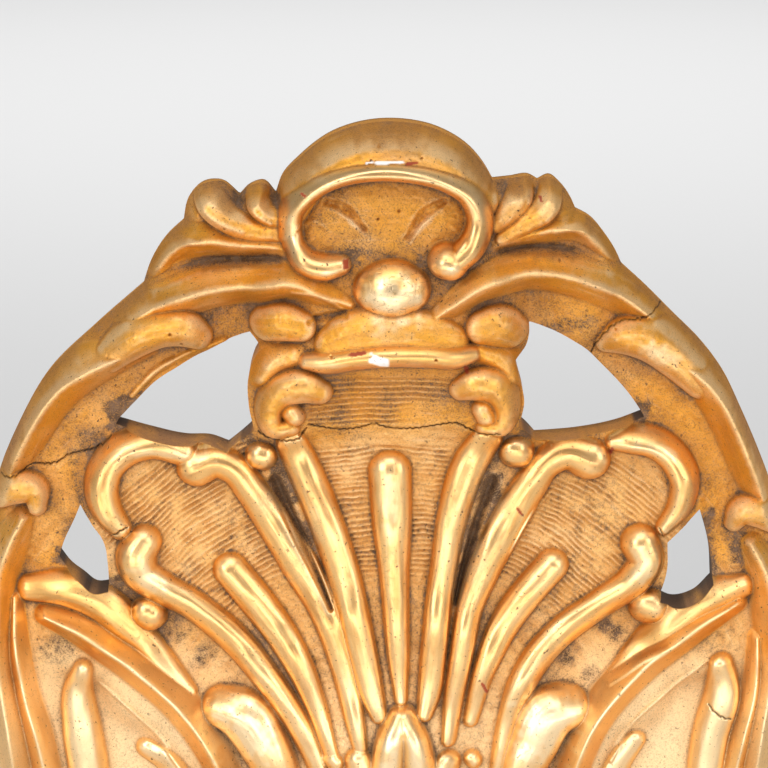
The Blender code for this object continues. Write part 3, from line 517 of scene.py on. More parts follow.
# Soil left in the corners: (u, v, half width, half height, turn in degrees, strength)
STAINS = (
    (122, 410, 16, 9, 30, 0.9), (72, 545, 9, 20, -15, 0.7), (100, 586, 20, 8, -20, 0.8),
    (60, 650, 22, 14, 30, 0.55), (52, 606, 14, 8, 20, 0.5), (205, 718, 11, 9, 0, 0.9),
    (172, 640, 20, 12, 35, 0.5), (200, 664, 20, 10, 45, 0.55), (584, 718, 9, 9, 0, 0.8),
    (560, 656, 14, 22, 40, 0.9), (608, 632, 30, 9, -38, 0.9), (590, 682, 14, 8, 40, 0.7),
    (640, 412, 10, 7, 0, 0.9), (705, 596, 16, 8, -20, 0.8), (744, 552, 14, 20, 10, 0.9),
    (712, 548, 6, 34, 0, 0.5), (352, 256, 9, 14, 0, 0.55), (426, 256, 10, 12, 0, 0.6),
    (312, 322, 12, 5, 0, 0.6), (440, 322, 10, 6, 0, 0.5), (246, 438, 16, 8, -30, 0.8),
    (524, 436, 12, 8, 30, 0.8), (80, 500, 10, 34, 10, 0.5), (88, 452, 26, 16, -30, 0.45),
    (206, 318, 26, 8, 15, 0.5), (570, 328, 26, 8, 20, 0.4), (688, 500, 10, 26, -10, 0.5),
    (640, 440, 18, 8, 40, 0.4), (376, 712, 6, 7, 0, 0.8), (412, 706, 6, 6, 0, 0.6),
    (238, 196, 8, 12, 0, 0.5), (272, 200, 6, 10, 0, 0.5), (505, 200, 8, 12, 0, 0.5),
    (385, 146, 10, 5, 0, 0.35), (365, 250, 30, 6, 0, 0.4), (120, 655, 20, 12, 45, 0.3),
    (690, 640, 24, 10, -35, 0.35), (280, 492, 17, 28, -24, 1.2), (303, 546, 13, 34, -22, 1.2),
    (324, 592, 9, 26, -18, 1.0), (489, 494, 17, 28, 20, 1.2), (472, 548, 13, 34, 16, 1.2),
    (459, 592, 9, 26, 12, 1.0), (118, 428, 11, 10, 0, 1.3), (66, 566, 16, 10, -30, 1.3),
    (100, 588, 22, 10, -12, 1.3), (643, 420, 10, 9, 0, 1.2), (709, 582, 12, 14, 10, 1.2),
    (705, 530, 7, 18, -10, 1.0), (672, 604, 24, 10, 0, 1.2), (560, 436, 40, 4, 2, 0.4),
    (150, 432, 34, 4, -8, 0.4),
)

# Painted highlights, pale ovals: (u, v, half width, half height, turn in degrees, strength)
PAINTED_HIGHLIGHTS = (
    (392, 293, 34, 24, 0, 1.0), (403, 750, 30, 34, 0, 1.3), (548, 730, 36, 44, 20, 1.3),
    (243, 734, 34, 44, -20, 1.2), (656, 352, 20, 12, -20, 0.8), (175, 345, 26, 8, 12, 0.5),
    (390, 356, 60, 4, 0, 0.7), (330, 268, 16, 8, 0, 0.9), (450, 264, 12, 12, 0, 0.9),
    (390, 500, 9, 34, 0, 0.5), (165, 455, 40, 8, 0, 0.6), (650, 452, 30, 8, -10, 0.6),
    (150, 580, 18, 22, 0, 0.8), (640, 566, 14, 20, 0, 0.7), (82, 712, 14, 34, 0, 0.8),
    (716, 706, 14, 34, 0, 0.8), (384, 174, 70, 5, 0, 0.6), (292, 232, 6, 24, 0, 0.6),
    (353, 219, 17, 2.4, -40, 3.2), (422, 221, 17, 3.4, 44, 3.2), (225, 196, 12, 14, 30, 0.4),
    (548, 205, 12, 12, 0, 0.5), (300, 395, 14, 6, 0, 0.5),
)

# Places painted darker, dust with painted shade: (u, v, half width, half height, turn, strength)
SHADED_AND_DUSTY = (
    (212, 186, 16, 9, 0, 0.9), (226, 204, 8, 14, 30, 0.6), (263, 186, 10, 8, 0, 0.9),
    (385, 130, 90, 11, 0, 0.55), (303, 165, 12, 22, -35, 0.5), (474, 166, 12, 22, 35, 0.5),
    (512, 186, 18, 10, 0, 1.0), (552, 184, 12, 8, 0, 0.6), (598, 228, 16, 9, -40, 0.6),
    (176, 234, 16, 10, 30, 0.7), (120, 312, 44, 8, 42, 0.7), (52, 372, 40, 8, 48, 0.6),
    (12, 436, 9, 44, -15, 0.6), (650, 296, 40, 8, -42, 0.6), (708, 352, 40, 8, -52, 0.6),
    (752, 436, 9, 50, 20, 0.6), (262, 400, 8, 24, 0, 0.5), (512, 396, 8, 24, 0, 0.5),
    (330, 300, 10, 4, 0, 0.4), (300, 255, 6, 14, -20, 0.3), (240, 262, 40, 7, 5, 0.8),
    (550, 252, 50, 7, -4, 0.8), (276, 340, 16, 6, 0, 0.4), (500, 340, 16, 6, 0, 0.4),
)

# Worm holes: (u, v, depth in mm, radius in divisions)
WORM = (
    (170, 334, 31, 1.6), (181, 345, 29, 1.8), (399, 211, 35, 1.4), (378, 219, 35, 1.2),
    (371, 162, 46, 1.2), (422, 160, 46, 1.1), (379, 147, 41, 1.8), (224, 229, 30, 1.2),
    (436, 362, 48, 1.2), (331, 357, 44, 1.1), (616, 330, 30, 1.2), (560, 262, 30, 1.2),
)

# Hub of the shell's ripples, and the ball under the crown with its half width and half height
HUB = (392, 790)
BALL = (392, 293, 48, 41, 30)

# The outer edge is rounded over VERGE, down to VERGE_SHARE of the depth
VERGE = 0.0065
VERGE_SHARE = 0.32

# The front stays CLEAR of the solid's box and bends off over KNEE before it
CLEAR = 0.0001
KNEE = 0.0008

# The crest is handed out in pieces at the level of the neck's crack and at SEAM from the middle
SEAM = 0.0545
SEAM_MARK = (388, 431, BROW_BODY - 0.009)

# Walls run back in these shares of the depth
WALL_SHARES = (0.08, 0.3, 0.6, 1.0)
SHARP = math.radians(60.0)
FLOOR_GAP = 0.0006
FLOOR_HALF = 6.0


def noise_field(x, z, size, seed):
    """Smooth value noise from -1 to 1: a hashed value at each lattice corner, eased between."""
    i, j = np.floor(x / size), np.floor(z / size)
    f, g = x / size - i, z / size - j
    f, g = f * f * (3 - 2 * f), g * g * (3 - 2 * g)

    def corner(p, q):
        h = np.sin(p * 127.1 + q * 311.7 + seed * 74.7) * 43758.5453
        return 2.0 * (h - np.floor(h)) - 1.0

    near = corner(i, j) * (1 - f) + corner(i + 1, j) * f
    far = corner(i, j + 1) * (1 - f) + corner(i + 1, j + 1) * f
    return near * (1 - g) + far * g


def ease(low, high, value):
    """Smooth step from 0 at low to 1 at high."""
    t = np.clip((value - low) / (high - low), 0.0, 1.0)
    return t * t * (3 - 2 * t)


def blur(field, radius):
    """Mean of the field in a square window, passed twice, by running sums."""
    n = max(1, int(round(radius / GRID)))
    for _ in range(2):
        for axis in (0, 1):
            pad = [(0, 0), (0, 0)]
            pad[axis] = (n + 1, n)
            run = np.cumsum(np.pad(field, pad, mode="edge"), axis=axis)
            head = np.take(run, np.arange(2 * n + 1, run.shape[axis]), axis=axis)
            tail = np.take(run, np.arange(0, run.shape[axis] - 2 * n - 1), axis=axis)
            field = (head - tail) / (2 * n + 1)
    return field


def old_tone_and_shade(x, z):
    """Share of old varnish and painted shade, the gold darker and more orange: full on the crown,
    the neck and the arches, none on the shell.
    """
    across = np.abs(x) / UNIT
    line_v = 432 + 150 * ease(250, 320, across)
    _, line_z = place(CENTRE_LINE, line_v, SHELL_GROUND)
    drift = 0.006 * noise_field(x, z, 0.02, 31) + 0.003 * noise_field(x, z, 0.006, 32)
    return ease(-0.007, 0.009, z - line_z + drift)


def in_oval(x, z, heart, half, tall, turn):
    """Plan points told by an oval: shares of its half width and half height, once turned back."""
    off_x, off_z = x - heart[0], z - heart[1]
    c, s = math.cos(math.radians(turn)), math.sin(math.radians(turn))
    return (off_x * c + off_z * s) / (half * UNIT), (off_z * c - off_x * s) / (tall * UNIT)


def soft_patches(x, z, rows):
    """Soft ovals at the plan points, each as strong as told in its middle and ragged outwards."""
    ragged = 0.45 * noise_field(x, z, 0.0024, 41)
    for u, v, half, tall, turn, strength in rows:
        p, q = in_oval(x, z, place(u, v, SHELL_HEART), half, tall, turn)
        yield strength * ease(1.5, 0.3, np.hypot(p, q) + ragged)


def leaf_hollow(x, z):
    """Share of the smooth hollows of the two lower leaves."""
    _, top = place(CENTRE_LINE, 640, LOWER_GROUND)
    return ease(0.072, 0.084, np.abs(x)) * ease(top + 0.004, top - 0.012, z)


def patch(x, z, row):
    """Share of an oval bare place at the plan points, 1 in it and ragged at its rim."""
    u, v, depth, half, tall, turn = row
    p, q = in_oval(x, z, place(u, v, depth * MM), half, tall, turn)
    ragged = 0.28 * noise_field(x, z, 0.0016, 5)
    return ease(1.12, 0.88, np.sqrt(p ** 4 + q ** 4) ** 0.5 + ragged)


def crack_line(row):
    """Crack in plan, with a fine waver, as a stroke of constant width."""
    table = [(*place(u, v, depth * MM), CRACK_HALF, CRACK_DEPTH) for u, v, depth in row]
    line = spline(table, CURVE_STEP)
    line[:, 1] += 0.0003 * np.sin(line[:, 0] * 2400.0) + 0.0002 * np.sin(line[:, 0] * 5100.0)
    return line


def gouged(turns):
    """Row of gouge cuts side by side: a round hollow each turn, an arris between two of them."""
    return 1.0 - 2.0 * np.abs(np.sin(math.pi * turns)) ** 0.8


def flow(line, x, z):
    """Plan points told by a stroke: how far across its centre line, and how far along it."""
    to_x = x[:, None] - line[:, 0]
    to_z = z[:, None] - line[:, 1]
    near = np.argmin(to_x ** 2 + to_z ** 2, axis=1)
    run = np.gradient(line[:, :2], axis=0)
    run /= np.linalg.norm(run, axis=1)[:, None]
    pick = np.arange(len(x))
    off_x, off_z = to_x[pick, near], to_z[pick, near]
    side = off_x * run[near, 1] - off_z * run[near, 0]
    ahead = off_x * run[near, 0] + off_z * run[near, 1]
    return side, near * CURVE_STEP + ahead


def ripple_share(x, z, ground):
    """Gouge ripples from -1 to 1: rings about the shell's hub in its ground, and level lines on
    the neck."""
    hub_x, hub_z = place(*HUB, SHELL_HEART)
    reach = np.hypot(x - hub_x, z - hub_z) / UNIT
    turn = np.degrees(np.arctan2(z - hub_z, x - hub_x))
    waver = 0.60 * noise_field(x, z, 0.016, 3) + 0.17 * noise_field(x, z, 0.0035, 4)
    lobes = (ease(110, 114, turn) * ease(140, 136, turn) + ease(40, 44, turn)
             * ease(70, 66, turn)) * ease(215, 265, reach) * ease(418, 395, reach)
    middle = (ease(74, 77, turn) * ease(107, 104, turn) * ease(190, 250, reach)
              * ease(362, 352, reach))
    broken = 0.70 + 0.55 * noise_field(x, z, 0.0042, 6)
    rings = gouged(reach / 5.3 + waver) * broken
    neck_x, neck_z = place(388, 402, BROW_BODY - 0.009)
    across, up = (x - neck_x) / UNIT, (z - neck_z) / UNIT
    sag = (0.26 * noise_field(x, z, 0.011, 8) + 0.10 * noise_field(x, z, 0.004, 12)
           + 0.0001 * across ** 2)
    level = gouged(up / 5.7 + sag) * (0.85 + 0.3 * noise_field(x, z, 0.006, 13))
    neck = (ease(-80, -76, across) * ease(76, 70, across) * ease(-26, -20, up)
            * ease(28, 22, up) * (1 - 0.85 * ease(-4, 30, across) * ease(8, -6, up)))
    return (ground * ease(0.0, 1.0, lobes + 0.9 * middle) * rings, ground * neck * level)


def carve(x, z):
    """Depth of the finished front and the masks of its finish, as whole fields.

    The strokes are raised over the broad form and the greatest wins; cut lines, ripples, cracks
    and a little unevenness follow. The masks are the shares of shine, crack, gesso, red bole,
    bare ground, gouge ripple and slit, and how far across and along its stroke a point lies.
    """
    shape = x.shape
    x, z = x.ravel(), z.ravel()
    rise = np.zeros(x.shape)
    shine = np.zeros(x.shape)
    hub_x, hub_z = place(*HUB, SHELL_HEART)
    across = np.hypot(x - hub_x, z - hub_z)
    along = 0.16 * np.arctan2(z - hub_z, x - hub_x)
    start = 1.0
    for group, gloss in FINISHES:
        for kind, rows in group:
            line = centre_line(rows, CURVE_STEP)
            own = lift(line, kind, x, z)
            wins = own > rise
            rise[wins] = own[wins]
            shine[wins] = gloss
            side, ahead = flow(line, x[wins], z[wins])
            across[wins] = side + start
            along[wins] = ahead
            start += 0.173
    ground = ease(0.0012, 0.0003, rise)
    shine *= ease(0.0004, 0.0016, rise)
    satin = np.maximum(0.34 * old_tone_and_shade(x, z), 0.16 * leaf_hollow(x, z))
    shine = np.maximum(shine, satin)
    depth = broad(x, z) + rise
    slit = np.zeros(x.shape)
    for number, (deep, rows) in enumerate(CUTS):
        line = centre_line([(*row, 0.0) for row in rows], CURVE_STEP)
        line[:, 3] = deep * MM
        cut = lift(line, "cut", x, z)
        if number < SLITS:
            slit = np.maximum(slit, ease(0.0, 0.002, cut))
            cut = 0.62 * cut * (1 - 0.35 * noise_field(x, z, 0.0013, 17))
        else:
            shine *= ease(0.002, 0.0004, cut)
        depth -= cut
    for kind, rows in VEINS:
        depth += lift(centre_line(rows, CURVE_STEP), kind, x, z)
    rings, level = ripple_share(x, z, ground)
    depth += (0.54 * rings + 0.66 * level) * MM
    rough = ground * (1 - 0.8 * leaf_hollow(x, z)) * (
        0.20 * noise_field(x, z, 0.0011, 1) + 0.20 * noise_field(x, z, 0.0026, 2)
        + 0.25 * noise_field(x, z, 0.006, 10))
    chased = ease(0.0008, 0.003, rise) * (
        0.16 * noise_field(across, along * 0.22, 0.0030, 14)
        + 0.07 * noise_field(across, along * 0.16, 0.0012, 15))
    swell = 0.30 * ease(0.001, 0.005, rise) * noise_field(x, z, 0.014, 16)
    worked = old_tone_and_shade(x, z) * ease(0.85, 0.6, shine) * (1 - ground)
    swell += worked * (0.10 * noise_field(x, z, 0.0011, 18) + 0.16 * noise_field(x, z, 0.0024, 19)
                       + 0.22 * noise_field(across, along * 0.3, 0.0042, 20))
    for u, v, deep, radius in WORM:
        near = np.hypot(*in_oval(x, z, place(u, v, deep * MM), radius, radius, 0.0))
        depth -= 1.1 * MM * ease(1.25, 0.7, near)
    depth += (rough + chased + swell + 0.12 * noise_field(x, z, 0.008, 7)
              + 0.03 * noise_field(x, z, 0.003, 9)) * MM
    crack = reduce(np.maximum, (lift(crack_line(row), "cut", x, z) for row in CRACKS))
    depth -= crack
    gesso, red = (reduce(np.maximum, (patch(x, z, row) for row in rows)) for rows in (GESSO, BOLE))
    depth -= (0.25 * gesso + 0.1 * red) * MM
    fields = (depth, shine, crack / CRACK_DEPTH, gesso, red, ground, rings + level, across, along,
              slit)
    return [field.reshape(shape) for field in fields]


def scan_inside(loops, x, z):
    """Inside test of a whole grid: along each level line the edges crossed so far are counted."""
    a = np.concatenate(loops)
    b = np.concatenate([np.roll(loop, -1, axis=0) for loop in loops])
    out = np.zeros((len(z), len(x)), dtype=bool)
    for j, level in enumerate(z):
        over = (a[:, 1] > level) != (b[:, 1] > level)
        p, q = a[over], b[over]
        cross = np.sort(p[:, 0] + (level - p[:, 1]) / (q[:, 1] - p[:, 1]) * (q[:, 0] - p[:, 0]))
        out[j] = np.searchsorted(cross, x) % 2 == 1
    return out


def nearest_on(loops, pts):
    """Nearest point of the edges to each given plan point."""
    a = np.concatenate(loops)
    d = np.concatenate([np.roll(loop, -1, axis=0) for loop in loops]) - a
    span = np.maximum((d ** 2).sum(axis=1), 1e-16)
    out = np.empty_like(pts)
    for start in range(0, len(pts), 1000):
        p = pts[start:start + 1000, None, :]
        f = np.clip(((p - a) * d).sum(axis=2) / span, 0.0, 1.0)[..., None]
        foot = a + f * d
        best = ((p - foot) ** 2).sum(axis=2).argmin(axis=1)
        out[start:start + 1000] = foot[np.arange(len(best)), best]
    return out


def rounded_verge(loop, x, z):
    """Share of the depth left near the outer edge: it falls off in a curve to VERGE_SHARE."""
    foot = np.flatnonzero(loop[:, 1] > loop[:, 1].min() + 0.0002)
    rim = loop[foot]
    below = np.array([[rim[-1, 0], -1.0], [rim[0, 0], -1.0]])
    pts = np.stack([x, z], 1)
    away = np.linalg.norm(pts - nearest_on([np.concatenate([rim, below])], pts), axis=1)
    return 1.0 - (1.0 - VERGE_SHARE) * np.clip(1.0 - away / VERGE, 0.0, 1.0) ** 2.3


def touching(cells):
    """Number of kept cells round each grid point, and whether only a diagonal pair is kept."""
    c = np.pad(cells, 1).astype(int)
    quad = (c[:-1, :-1], c[:-1, 1:], c[1:, :-1], c[1:, 1:])
    count = quad[0] + quad[1] + quad[2] + quad[3]
    pair = (count == 2) & (quad[0] == quad[3])
    return count, pair


def carved_piece(name, cells, x, z, depth, normal, masks):
    """Closed piece: the grid cells kept, walls straight back from their rim, and a flat back."""
    used = touching(cells)[0] > 0
    index = np.full(used.shape, -1)
    index[used] = np.arange(used.sum())
    j, i = np.nonzero(cells)
    faces = np.stack([index[j, i], index[j, i + 1], index[j + 1, i + 1], index[j + 1, i]], 1)
    px, pz, pd = x[used], z[used], depth[used]
    sides = np.concatenate([faces[:, [n, (n + 1) % 4]] for n in range(4)])
    code = np.sort(sides, axis=1)
    code = code[:, 0] * len(px) + code[:, 1]
    _, first, times = np.unique(code, return_index=True, return_counts=True)
    rim = sides[first[times == 1]]
    ring, place_in = np.unique(rim, return_inverse=True)
    place_in = place_in.reshape(rim.shape)
    coords = [np.stack([px, -pd, pz], 1)]
    extra = {key: [field[used]] for key, field in masks.items()}
    wall = []
    above = ring
    for n, share in enumerate(WALL_SHARES):
        coords.append(np.stack([px[ring], -pd[ring] * (1 - share), pz[ring]], 1))
        here = len(px) + n * len(ring) + np.arange(len(ring))
        wall.append(np.stack([above[place_in[:, 1]], above[place_in[:, 0]],
                              here[place_in[:, 0]], here[place_in[:, 1]]], 1))
        for key in extra:
            if key in ("tone_and_shade", "soil", "along"):
                own = extra[key][0][ring]
            elif key == "across":
                own = extra[key][0][ring] + pd[ring] * share
            else:
                own = np.full(len(ring), 1.0 if key == "side" else 0.0)
            extra[key].append(own)
        above = here
    flat = np.stack([px[ring], pz[ring]], 1)
    edges = [tuple(int(v) for v in row) for row in place_in]
    points, _, tris, _, _, _ = delaunay_2d_cdt([Vector(p) for p in flat], edges, [], 0, 1e-7)
    assert len(points) == len(flat)
    tris = np.array([t[:3] for t in tris])
    a, b = flat[place_in[:, 0]], flat[place_in[:, 1]]
    mid = flat[tris].mean(axis=1)
    odd = np.zeros(len(mid), dtype=bool)
    for p, q in zip(a, b):
        if p[1] != q[1]:
            over = (p[1] > mid[:, 1]) != (q[1] > mid[:, 1])
            odd ^= over & (mid[:, 0] < (q[0] - p[0]) * (mid[:, 1] - p[1]) / (q[1] - p[1]) + p[0])
    back = above[tris[odd]][:, ::-1]
    coords = np.concatenate(coords)
    quads = np.concatenate([faces] + wall)
    mesh = bpy.data.meshes.new(name)
    mesh.from_pydata(coords, [], quads.tolist() + back.tolist())
    kind = np.zeros(len(quads) + len(back), dtype=np.int32)
    kind[len(quads):] = 1
    mesh.polygons.foreach_set("material_index", kind)
    mesh.shade_smooth()
    mesh.set_sharp_from_angle(angle=SHARP)
    for key, parts in extra.items():
        layer = mesh.attributes.new(key, "FLOAT", "POINT")
        layer.data.foreach_set("value", np.concatenate(parts).astype(np.float32))
    facing = np.zeros((len(coords), 3))
    facing[:len(px)] = normal[used]
    mesh.normals_split_custom_set_from_vertices(facing.tolist())
    piece = bpy.data.objects.new(name, mesh)
    bpy.context.scene.collection.objects.link(piece)
    return piece


def carved_front():
    """Grid of the whole crest, cut to its edges and handed out to the six pieces.

    Dirt and painted shade darken the hollows, which lie deeper than their blurred neighbourhood,
    the gouge ripples' hollows and a band along the outer edge; dirt lies in the ragged stains, and
    dust with painted shade in the darker places. The amber, varnish toning with painted shade,
    follows it more widely, and pale gold is painted as highlights where the form stands proud
    (partly wear), on the ripple tops, towards the bottom and in the highlight ovals.
    """
    loops = [edge_loop(OUTER, OUTER_STEP)] + [edge_loop(hole, CURVE_STEP) for hole in HOLES]
    low, high = loops[0].min(axis=0), loops[0].max(axis=0)
    gx = np.arange(low[0] - GRID, high[0] + 2 * GRID, GRID)
    gz = np.arange(low[1], high[1] + 2 * GRID, GRID)
    cells = scan_inside(loops, gx[:-1] + GRID / 2, gz[:-1] + GRID / 2)
    while touching(cells)[1].any():
        jj, ii = np.nonzero(touching(cells)[1])
        cells[np.minimum(jj, cells.shape[0] - 1), np.minimum(ii, cells.shape[1] - 1)] = False
        cells[np.maximum(jj - 1, 0), np.maximum(ii - 1, 0)] = False
    x, z = np.meshgrid(gx, gz)
    depth, shine, crack, gesso, red, ground, gouge, across, along, slit = carve(x, z)
    held = np.zeros(depth.shape)
    held[:-1, :-1] = cells
    verge = ease(0.97, 0.62, blur(held, 0.0032))
    near_edge = blur(held, 0.0045)
    close = (near_edge < 0.999) & (near_edge > 0.001)
    count, _ = touching(cells)
    rim = (count > 0) & (count < 4)
    snapped = nearest_on(loops, np.stack([x[rim], z[rim]], 1))
    edge_x, edge_z = x.copy(), z.copy()
    edge_x[rim] = np.clip(snapped[:, 0], solid_box[0][0], solid_box[1][0])
    edge_z[rim] = np.clip(snapped[:, 1], solid_box[0][2], solid_box[1][2])
    share = rounded_verge(loops[0], edge_x[close], edge_z[close])
    depth[close] *= np.where((count[close] == 0) & (share < 1.0), VERGE_SHARE, share)
    top = -solid_box[0][1] - CLEAR
    depth = np.where(depth > top - KNEE, top - KNEE * np.exp(-(depth - top + KNEE) / KNEE), depth)
    slope_z, slope_x = np.gradient(depth, GRID)
    normal = np.stack([-slope_x, -np.ones_like(depth), -slope_z], 2)
    normal /= np.linalg.norm(normal, axis=2)[..., None]
    hollow = blur(depth, 0.0011) - depth
    wide = blur(depth, 0.006) - depth
    hollow *= 1 - 0.8 * verge
    wide *= 1 - verge
    wear_and_highlight = np.clip(depth - blur(depth, 0.0014), 0, None)
    speck = (0.5 + 0.3 * noise_field(x, z, 0.0011, 21) + 0.2 * noise_field(x, z, 0.0027, 23))
    smear = 0.5 + 0.5 * noise_field(x, z, 0.009, 22)
    # Old varnish with painted shade: the upper parts are painted darker and more orange
    tone_and_shade = old_tone_and_shade(x, z)
    rough_ground = ground * (1 - ease(0.05, 0.4, shine))
    # Painted shade with real dirt: hollows, ripple hollows and the outer edge band darkened
    dirt_and_shade = (0.75 * ease(0.00022, 0.0010, hollow) * (0.15 + 0.9 * smear) * (0.4 + 0.8 * speck)
            + 0.8 * ease(0.0026, 0.0060, wide) * (0.5 + 0.6 * smear)
            + (0.26 + 0.36 * tone_and_shade) * ease(0.1, 0.9, -gouge) * (0.2 + 0.8 * smear) * (0.4 + speck)
            + 0.34 * tone_and_shade * ground * ease(0.25, 0.9, smear) * (0.5 + 0.7 * speck)
            + 0.30 * ease(0.45, 0.95, speck * (0.6 + 0.7 * smear)) * (0.1 + 0.9 * rough_ground)
            + 0.10 * verge * tone_and_shade * smear)
    stained = np.zeros(depth.shape)
    soil = np.zeros(depth.shape)
    for oval in soft_patches(x, z, STAINS):
        stained += oval
        soil = np.maximum(soil, oval)
    dirt_and_shade += 1.5 * stained * (0.25 + 0.9 * speck) * (0.15 + 0.85 * ground)
    # Painted light: lighter towards the bottom, with less dirt and amber and more pale gold
    painted_light_below = ease(-0.020, -0.075, z) * (1 - 0.6 * verge)
    dirt_and_shade = np.clip(dirt_and_shade * (1 - 0.5 * leaf_hollow(x, z)) * (1 - 0.75 * slit)
                   * (1 - 0.3 * painted_light_below), 0, 1)
    # Amber: varnish toning in the hollows, with painted shade in the ripple hollows and at the
    # edge
    amber_and_shade = np.clip((ease(0.0, 0.0008, hollow) + 0.5 * ease(0.0004, 0.003, wide))
                    * (0.6 + 0.4 * tone_and_shade) + 0.35 * tone_and_shade * ground + 0.40 * verge * (0.3 + 0.7 * tone_and_shade)
                    + 0.75 * ease(0.0, 0.9, -gouge), 0, 1)
    # Painted highlights, partly wear: pale gold on proud edges, ripple tops, lower leaves and
    # ovals
    wear_and_highlight = np.maximum(ease(0.00010, 0.0008, wear_and_highlight), 0.8 * ease(0.1, 0.9, gouge))
    wear_and_highlight *= 0.55 * (1 - verge)
    # Painted shade with dust: darker, browner places
    shade_and_dust = reduce(np.maximum, soft_patches(x, z, SHADED_AND_DUSTY))
    dirt_and_shade = np.clip(dirt_and_shade + 0.45 * shade_and_dust * (0.3 + 0.9 * speck), 0, 1)
    amber_and_shade = np.clip(amber_and_shade * (1 - 0.5 * painted_light_below) + 0.8 * shade_and_dust, 0, 1)
    wear_and_highlight *= 1 - shade_and_dust
    wear_and_highlight = np.clip(np.maximum(wear_and_highlight, 0.55 * painted_light_below) + 0.35 * leaf_hollow(x, z), 0, 1)
    wear_and_highlight = np.maximum(wear_and_highlight, reduce(np.maximum, soft_patches(x, z, PAINTED_HIGHLIGHTS)) * (1 - 0.7 * ground))
    u, v, deep, half, tall = BALL
    ball = ease(1.15, 0.95, np.hypot(*in_oval(x, z, place(u, v, deep * MM), half, tall, 0.0)))
    craze = np.clip(0.8 * ball + 0.5 * (1 - ground) * (1 - tone_and_shade) * ease(0.55, 0.95, smear), 0, 1)
    masks = {"shine": shine, "dirt_and_shade": dirt_and_shade, "amber_and_shade": amber_and_shade, "tone_and_shade": tone_and_shade, "wear_and_highlight": wear_and_highlight,
             "crack": crack, "gesso": gesso, "bole": red, "side": np.zeros_like(depth),
             "soil": np.clip(soil, 0, 1), "across": across, "along": along, "craze": craze}
    mid_x, mid_z = np.meshgrid(gx[:-1] + GRID / 2, gz[:-1] + GRID / 2)
    upper = mid_z > place(*SEAM_MARK)[1]
    west, east = mid_x < -SEAM, mid_x > SEAM
    middle = ~west & ~east
    parts = (("left_arch", upper & west), ("crown", upper & middle), ("right_arch", upper & east),
             ("left_lobe_and_scrolls", ~upper & west), ("shell_heart", ~upper & middle),
             ("right_lobe_and_scrolls", ~upper & east))
    return [carved_piece(name, cells & part, edge_x, edge_z, depth, normal, masks)
            for name, part in parts]


# Sockets of the Mix node in its colour form
MIX_FIRST, MIX_SECOND, MIX_RESULT = 6, 7, 2


def blank_material(name, values=()):
    """Material with its shader, with the values given set on the shader's sockets."""
    material = bpy.data.materials.new(name)
    material.use_nodes = True
    shader = material.node_tree.nodes["Principled BSDF"]
    for socket, value in values:
        shader.inputs[socket].default_value = value
    return material, material.node_tree, shader


def mix(tree, factor, first, second):
    """Colour mix node, each input a colour or a socket."""
    node = tree.nodes.new("ShaderNodeMix")
    node.data_type = "RGBA"
    for socket, value in ((node.inputs["Factor"], factor), (node.inputs[MIX_FIRST], first),
                          (node.inputs[MIX_SECOND], second)):
        if hasattr(value, "links"):
            tree.links.new(value, socket)
        else:
            socket.default_value = value if isinstance(value, float) else (*value, 1.0)
    return node.outputs[MIX_RESULT]


def layered(tree, colour, layers):
    """Colour under its layers: each layer covers what is below it by its factor."""
    for factor, over in layers:
        colour = mix(tree, factor, colour, over)
    return colour


def maths(tree, kind, first, second=0.0, third=0.0, clamp=False):
    """Maths node, each input a number or a socket."""
    node = tree.nodes.new("ShaderNodeMath")
    node.operation = kind
    node.use_clamp = clamp
    for socket, value in zip(node.inputs, (first, second, third)):
        if hasattr(value, "links"):
            tree.links.new(value, socket)
        else:
            socket.default_value = value
    return node.outputs[0]


def times(tree, first, second):
    """Product of two numbers or sockets."""
    return maths(tree, "MULTIPLY", first, second)


def ramp(tree, value, stops):
    """Smooth step of a socket: from the first two numbers to the last two."""
    node = tree.nodes.new("ShaderNodeMapRange")
    node.interpolation_type = "SMOOTHSTEP"
    for key, number in zip(("From Min", "From Max", "To Min", "To Max"), stops):
        node.inputs[key].default_value = number
    tree.links.new(value, node.inputs["Value"])
    return node.outputs["Result"]


def attribute(tree, name):
    """Value of one mask of the piece."""
    node = tree.nodes.new("ShaderNodeAttribute")
    node.attribute_name = name
    return node.outputs["Fac"]


def noise(tree, vector, scale, detail, rough):
    """Noise node read at the vector."""
    node = tree.nodes.new("ShaderNodeTexNoise")
    for key, number in (("Scale", scale), ("Detail", detail), ("Roughness", rough)):
        node.inputs[key].default_value = number
    tree.links.new(vector, node.inputs["Vector"])
    return node.outputs["Fac"]


def grained(tree, scale, stretch, detail=3.0, rough=0.6):
    """Noise that runs along each stroke of the carving, drawn out by the stretch."""
    join = tree.nodes.new("ShaderNodeCombineXYZ")
    tree.links.new(attribute(tree, "across"), join.inputs["X"])
    tree.links.new(times(tree, attribute(tree, "along"), stretch), join.inputs["Y"])
    return noise(tree, join.outputs["Vector"], scale, detail, rough)


def cloud(tree, scale, detail=3.0, rough=0.55, stretch=(1, 1, 1)):
    """Noise on object coordinates, stretched where asked."""
    coords = tree.nodes.new("ShaderNodeTexCoord")
    bend = tree.nodes.new("ShaderNodeMapping")
    bend.inputs["Scale"].default_value = stretch
    tree.links.new(coords.outputs["Object"], bend.inputs["Vector"])
    return noise(tree, bend.outputs["Vector"], scale, detail, rough)


